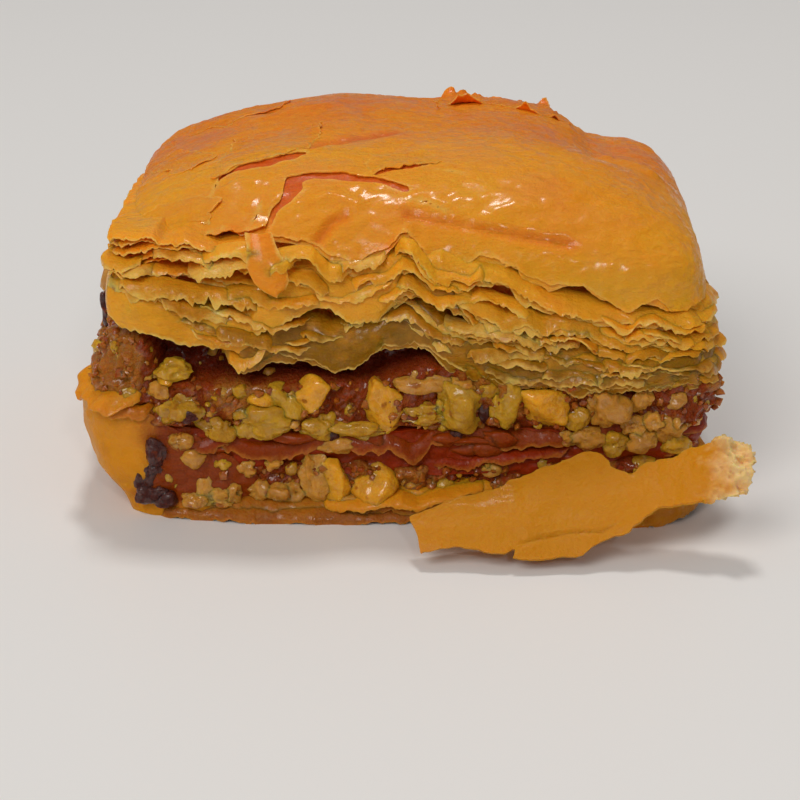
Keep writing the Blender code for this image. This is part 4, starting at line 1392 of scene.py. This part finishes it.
# Its torn outline as seen from the front: across and up
FLAKE_OUTLINE = (
    (0.7, 3.2), (1.3, 3.4), (3.3, 3.9), (7.4, 4.7), (10.1, 5.6), (12.3, 6.1), (14.3, 6.7), (15.1, 6.5),
    (15.6, 6.2), (15.7, 5.9), (16.1, 5.8), (17.1, 5.6), (18.3, 6.2), (20.1, 6.7), (21.8, 7.5), (23.2, 8.3),
    (24.3, 8.8), (24.9, 8.9), (25.4, 8.5), (25.7, 7.5), (25.7, 6.9), (25.3, 6.3), (24.5, 5.4), (22.2, 5.1),
    (20.6, 4.9), (19, 4.4), (18, 3.9), (16.6, 2.9), (15.5, 2.5), (14.4, 2), (13.4, 1.4), (10.6, 1.2),
    (8.2, 1.3), (8.6, 1.8), (7.7, 1.5), (6.1, 1.6), (4.4, 1.8), (2.8, 1.6), (1.5, 1.4), (1.3, 2.2), (1, 2.7),
)

# A crease near its foot
FLAKE_CRACK = ((8.6, 1.9), (10.4, 2.2), (12.2, 2.4), (14.8, 2.6), (16.4, 3.3))


def build_flake(flake, colours):
    """The large thin flake that rests on its foot, its right end hovering in front of the piece."""
    across = np.arange(0.0, 26.6, 0.15)
    share = np.linspace(-0.12, 1.14, 60)[:, None]
    upper, lower = (
        [softened(np.interp(across, FLAKE_ACROSS, line), 9)[None] for line in lines]
        for lines in (FLAKE_UPPER, FLAKE_LOWER)
    )
    y, z = (blend(high, low, share) for high, low in zip(upper, lower))
    x = across[None] + z * 0.0
    flat = np.stack([x, y, z], -1).reshape(-1, 3)
    front = flat[:, (0, 2)]
    tip = smooth((front[:, 0] + rough_noise(flat, 1.5, 306) * 1.5 - 21.6) / 3.0)
    keep = inside(front, FLAKE_OUTLINE) + rough_noise(flat, 0.9, 305, 4) * 0.22 * (0.6 + tip * 1.4)
    distance, _ = near_line(front, np.array(FLAKE_CRACK))
    middle = np.interp(front[:, 0], *np.array(FLAKE_CRACK).T)
    crack = smooth((front[:, 0] - 8.4) / 1.0) * smooth((16.6 - front[:, 0]) / 2.0)
    lift = 0.3 * np.sin(math.pi * np.clip(share + x * 0.0, 0.0, 1.0)).ravel()
    lift = lift + rough_noise(flat * [0.6, 1.0, 1.0], 4.0, 303, 3) * 0.3
    lift = lift + rough_noise(flat * [0.4, 1.0, 1.0], 0.9, 304, 3) * 0.05
    lift = lift + tip * rough_noise(flat, 1.0, 307, 4) * 1.5
    groove = 0.1 * np.exp(-((distance / 0.1) ** 2))
    lift = lift + crack * (0.14 * smooth((front[:, 1] - middle) / 0.12) - groove)
    points = flat + np.array([0.0, -0.75, 0.65]) * lift[:, None]
    layers = {"rim": keep + 0.3, "bake": 1.3 - tip * 1.4}
    points, faces, layers = clip(points, grid_faces(*z.shape)[:, ::-1], keep, layers)
    mesh = Mesh()
    mesh.add_shell(points, faces, flake.thickness / MM, layers)
    material = wet_paint("flake", colours, (colours.flake_tip, colours.flake), 0.06)
    mesh.make("flake", material, "flake", "loose_flake")


# ---- stage

# In metres, apart from the height of the place the lamps and the camera point at
FLOOR_HALF = 1.5
CAMERA_RISE = math.radians(22.0)
CAMERA_DISTANCE = 0.17
AIM_HEIGHT = 9.9
LAMP_COLOUR = (1.0, 0.98, 0.95)

# The lamps: name, place and size
LAMPS = (
    ("overhead", (0, 0.15, 0.56), 0.09),
    ("front", (-0.45, -0.8, 0.85), 0.6),
    ("glint", (0.1, -0.55, 0.34), 0.04),
)


def aimed(name, data, place, target):
    """A new object at a place, turned towards the target."""
    made = placed(name, data)
    made.location = place
    made.rotation_euler = (target - made.location).to_track_quat("-Z", "Y").to_euler()
    return made


def build_stage(stage):
    """A pale floor, an overhead light, a large front one, a small one for glints, and the camera."""
    paint = Paint("floor", Roughness=0.5, Base_Color=stage.floor)
    mesh = bpy.data.meshes.new("floor")
    rims = [(x * FLOOR_HALF, y * FLOOR_HALF, 0.0) for x, y in ((-1, -1), (1, -1), (1, 1), (-1, 1))]
    mesh.from_pydata(rims, [], [(0, 1, 2, 3)])
    mesh.materials.append(paint.material)
    floor = placed("floor", mesh)

    world = bpy.data.worlds.new("surroundings")
    world.use_nodes = True
    sky = world.node_tree.nodes["Background"].inputs
    sky["Color"].default_value = (1.0, 0.99, 0.98, 1.0)
    sky["Strength"].default_value = stage.fill
    bpy.context.scene.world = world

    target = Vector((0.0, -HALF_DEPTH * MM, AIM_HEIGHT * MM))
    for (name, place, size), power in zip(LAMPS, (stage.key, stage.front, stage.glint)):
        lamp = bpy.data.lights.new(name, "AREA")
        lamp.size = size
        lamp.energy = power
        lamp.color = LAMP_COLOUR
        aimed(name, lamp, Vector(place), target)

    camera = bpy.data.cameras.new("camera")
    camera.lens = stage.lens
    camera.sensor_width = 36.0
    camera.clip_start = 0.01
    way = Vector((0.0, -math.cos(CAMERA_RISE), math.sin(CAMERA_RISE)))
    bpy.context.scene.camera = aimed("camera", camera, target + way * CAMERA_DISTANCE, target)
    bpy.context.scene.view_settings.view_transform = "Standard"


# ---- settings, operators and panel


def sheet_thickness(name, text, default):
    """A thickness given in millimetres."""
    return bpy.props.FloatProperty(
        name=name, description=text, default=default * MM, min=0.1 * MM, max=1.0 * MM, unit="LENGTH",
        precision=5,
    )


def paint_colour(name, text, *display):
    return bpy.props.FloatVectorProperty(
        name=name, description=text, default=colour(*display), size=4, min=0.0, max=1.0, subtype="COLOR",
    )


def whole_number(name, text, default, low, high):
    return bpy.props.IntProperty(name=name, description=text, default=default, min=low, max=high)


def amount(name, text, default, high=1.0):
    return bpy.props.FloatProperty(name=name, description=text, default=default, min=0.0, max=high)


class BaklavaColours(bpy.types.PropertyGroup):
    # The pastry colours run from soaked, low in the lid, to crust on top; part of that change is painted
    # light, orange where the light from above falls and olive on the sides.
    soaked: paint_colour("Soaked pastry", "Sheets full of syrup, low in the lid", 140, 94, 0)
    gold: paint_colour("Gold pastry", "Sheets half way up the lid", 240, 156, 30)
    crust: paint_colour("Crust", "The baked top", 250, 144, 24)
    # Partly painted shade: the colour of the sheets inside the tears and of the creases.
    deep: paint_colour("Deep crust", "Sheets seen through tears in the top", 214, 80, 10)
    # Partly painted highlight: thin edges pale in their own colour and with light shining through them.
    pale: paint_colour("Pale edges", "Thin torn edges", 244, 192, 96)
    paste: paint_colour("Paste", "Dark filling between the nuts", 132, 50, 8)
    jelly: paint_colour("Jelly", "Brown syrup", 134, 52, 0)
    red_jelly: paint_colour("Red jelly", "Sheets full of red syrup", 138, 38, 0)
    jelly_rim: paint_colour("Wet rims", "Edges of soaked sheets", 196, 124, 44)
    crumb: paint_colour("Crumbs", "Ground nuts in the paste", 164, 98, 28)
    # Painted shade: the paste's colour where it lies deep in the hollow under the lid.
    hollow: paint_colour("Hollow", "Filling deep under the lid", 108, 30, 3)
    yellow_nut: paint_colour("Yellow nuts", "Fresh kernels", 222, 156, 30)
    green_nut: paint_colour("Green nuts", "Pistachio kernels", 190, 144, 30)
    beige_nut: paint_colour("Beige nuts", "Pale nuts", 198, 140, 52)
    dull_nut: paint_colour("Dull nuts", "Nuts full of syrup", 160, 106, 26)
    skin: paint_colour("Skins", "Dark nut skins", 72, 30, 24)
    base_low: paint_colour("Bottom sheets, wet", "Soaked sheets on the floor", 150, 84, 20)
    base_high: paint_colour("Bottom sheets", "Golden sheets on the floor", 212, 134, 20)
    flake: paint_colour("Flake", "The loose flake", 194, 128, 18)
    flake_tip: paint_colour("Flake tip", "The thin end of the loose flake", 230, 190, 130)


class BaklavaCrust(bpy.types.PropertyGroup):
    thickness: sheet_thickness("Sheet thickness", "Thickness of a crust sheet", 0.12)
    shine: amount("Shine", "Syrup on the crust", 0.55)


class BaklavaLid(bpy.types.PropertyGroup):
    thickness: sheet_thickness("Sheet thickness", "Thickness of a lid sheet", 0.13)
    sheets: whole_number("Sheets", "Sheet edges round the lid", 14, 3, 30)
    wisps: whole_number("Wisps", "Short torn edges at the cut", 36, 0, 90)
    shine: amount("Shine", "Syrup on the sheets", 0.45)


class BaklavaFilling(bpy.types.PropertyGroup):
    nuts: whole_number("Nuts", "Scattered nuts", 300, 0, 600)
    crumbs: whole_number("Crumbs", "Scattered crumbs", 2200, 1, 4000)
    seed: whole_number("Seed", "Changes the scatter", 5, 0, 9999)


class BaklavaPastry(bpy.types.PropertyGroup):
    thickness: sheet_thickness("Flake thickness", "Thickness of the loose flake", 0.28)
    lumps: whole_number("Lumps", "Soft lumps along the middle's edge", 11, 0, 60)


class BaklavaStage(bpy.types.PropertyGroup):
    floor: paint_colour("Floor", "The pale floor", 235, 233, 231)
    key: amount("Overhead light", "Power in watts", 1.0, 100.0)
    front: amount("Front light", "Power in watts", 6.7, 100.0)
    glint: amount("Small light", "Power in watts", 0.35, 100.0)
    fill: amount("Surroundings", "Strength", 0.25, 10.0)
    lens: amount("Lens", "Focal length in millimetres", 101.7, 500.0)


class BAKLAVA_OT_crust(bpy.types.Operator):
    """Make the torn crust"""

    bl_idname = "baklava.crust"
    bl_label = "Crust"

    def execute(self, context):
        build_crust(context.scene.baklava_crust, context.scene.baklava_colours)
        return {"FINISHED"}


class BAKLAVA_OT_lid(bpy.types.Operator):
    """Make the sheets round the lid's sides"""

    bl_idname = "baklava.lid"
    bl_label = "Lid sheets"

    def execute(self, context):
        build_lid_core(context.scene.baklava_colours)
        build_lid_sides(context.scene.baklava_lid, context.scene.baklava_colours)
        return {"FINISHED"}


class BAKLAVA_OT_fillings(bpy.types.Operator):
    """Make the two fillings and their nuts"""

    bl_idname = "baklava.fillings"
    bl_label = "Fillings"

    def execute(self, context):
        build_fillings(context.scene.baklava_filling, context.scene.baklava_colours)
        return {"FINISHED"}


class BAKLAVA_OT_pastry(bpy.types.Operator):
    """Make the middle and bottom pastry and the loose flake"""

    bl_idname = "baklava.pastry"
    bl_label = "Middle, bottom and flake"

    def execute(self, context):
        build_middle(context.scene.baklava_pastry, context.scene.baklava_colours)
        build_bottom(context.scene.baklava_colours)
        build_flake(context.scene.baklava_pastry, context.scene.baklava_colours)
        return {"FINISHED"}


class BAKLAVA_OT_stage(bpy.types.Operator):
    """Make the floor, the lights and the camera"""

    bl_idname = "baklava.stage"
    bl_label = "Stage"

    def execute(self, context):
        build_stage(context.scene.baklava_stage)
        return {"FINISHED"}


class VIEW3D_PT_baklava(bpy.types.Panel):
    """Settings and operators for the baklava"""

    bl_label = "Baklava"
    bl_space_type = "VIEW_3D"
    bl_region_type = "UI"
    bl_category = "Baklava"

    def draw(self, context):
        for group, _, operator in STEPS:
            settings = getattr(context.scene, group)
            for name in settings.bl_rna.properties.keys():
                if name not in ("rna_type", "name"):
                    self.layout.prop(settings, name)
            if operator:
                self.layout.operator(operator)


# Each group of settings and the operator that reads it
STEPS = (
    ("baklava_colours", BaklavaColours, None),
    ("baklava_crust", BaklavaCrust, "baklava.crust"),
    ("baklava_lid", BaklavaLid, "baklava.lid"),
    ("baklava_filling", BaklavaFilling, "baklava.fillings"),
    ("baklava_pastry", BaklavaPastry, "baklava.pastry"),
    ("baklava_stage", BaklavaStage, "baklava.stage"),
)
CLASSES = (
    BAKLAVA_OT_crust, BAKLAVA_OT_lid, BAKLAVA_OT_fillings, BAKLAVA_OT_pastry, BAKLAVA_OT_stage,
    VIEW3D_PT_baklava,
)


def register():
    for name, group, _ in STEPS:
        bpy.utils.register_class(group)
        setattr(bpy.types.Scene, name, bpy.props.PointerProperty(type=group))
    for made in CLASSES:
        bpy.utils.register_class(made)


def unregister():
    for made in reversed(CLASSES):
        bpy.utils.unregister_class(made)
    for name, group, _ in STEPS:
        delattr(bpy.types.Scene, name)
        bpy.utils.unregister_class(group)


def main():
    register()
    bpy.ops.baklava.stage()
    bpy.ops.baklava.crust()
    bpy.ops.baklava.lid()
    bpy.ops.baklava.fillings()
    bpy.ops.baklava.pastry()


if __name__ == "__main__":
    main()
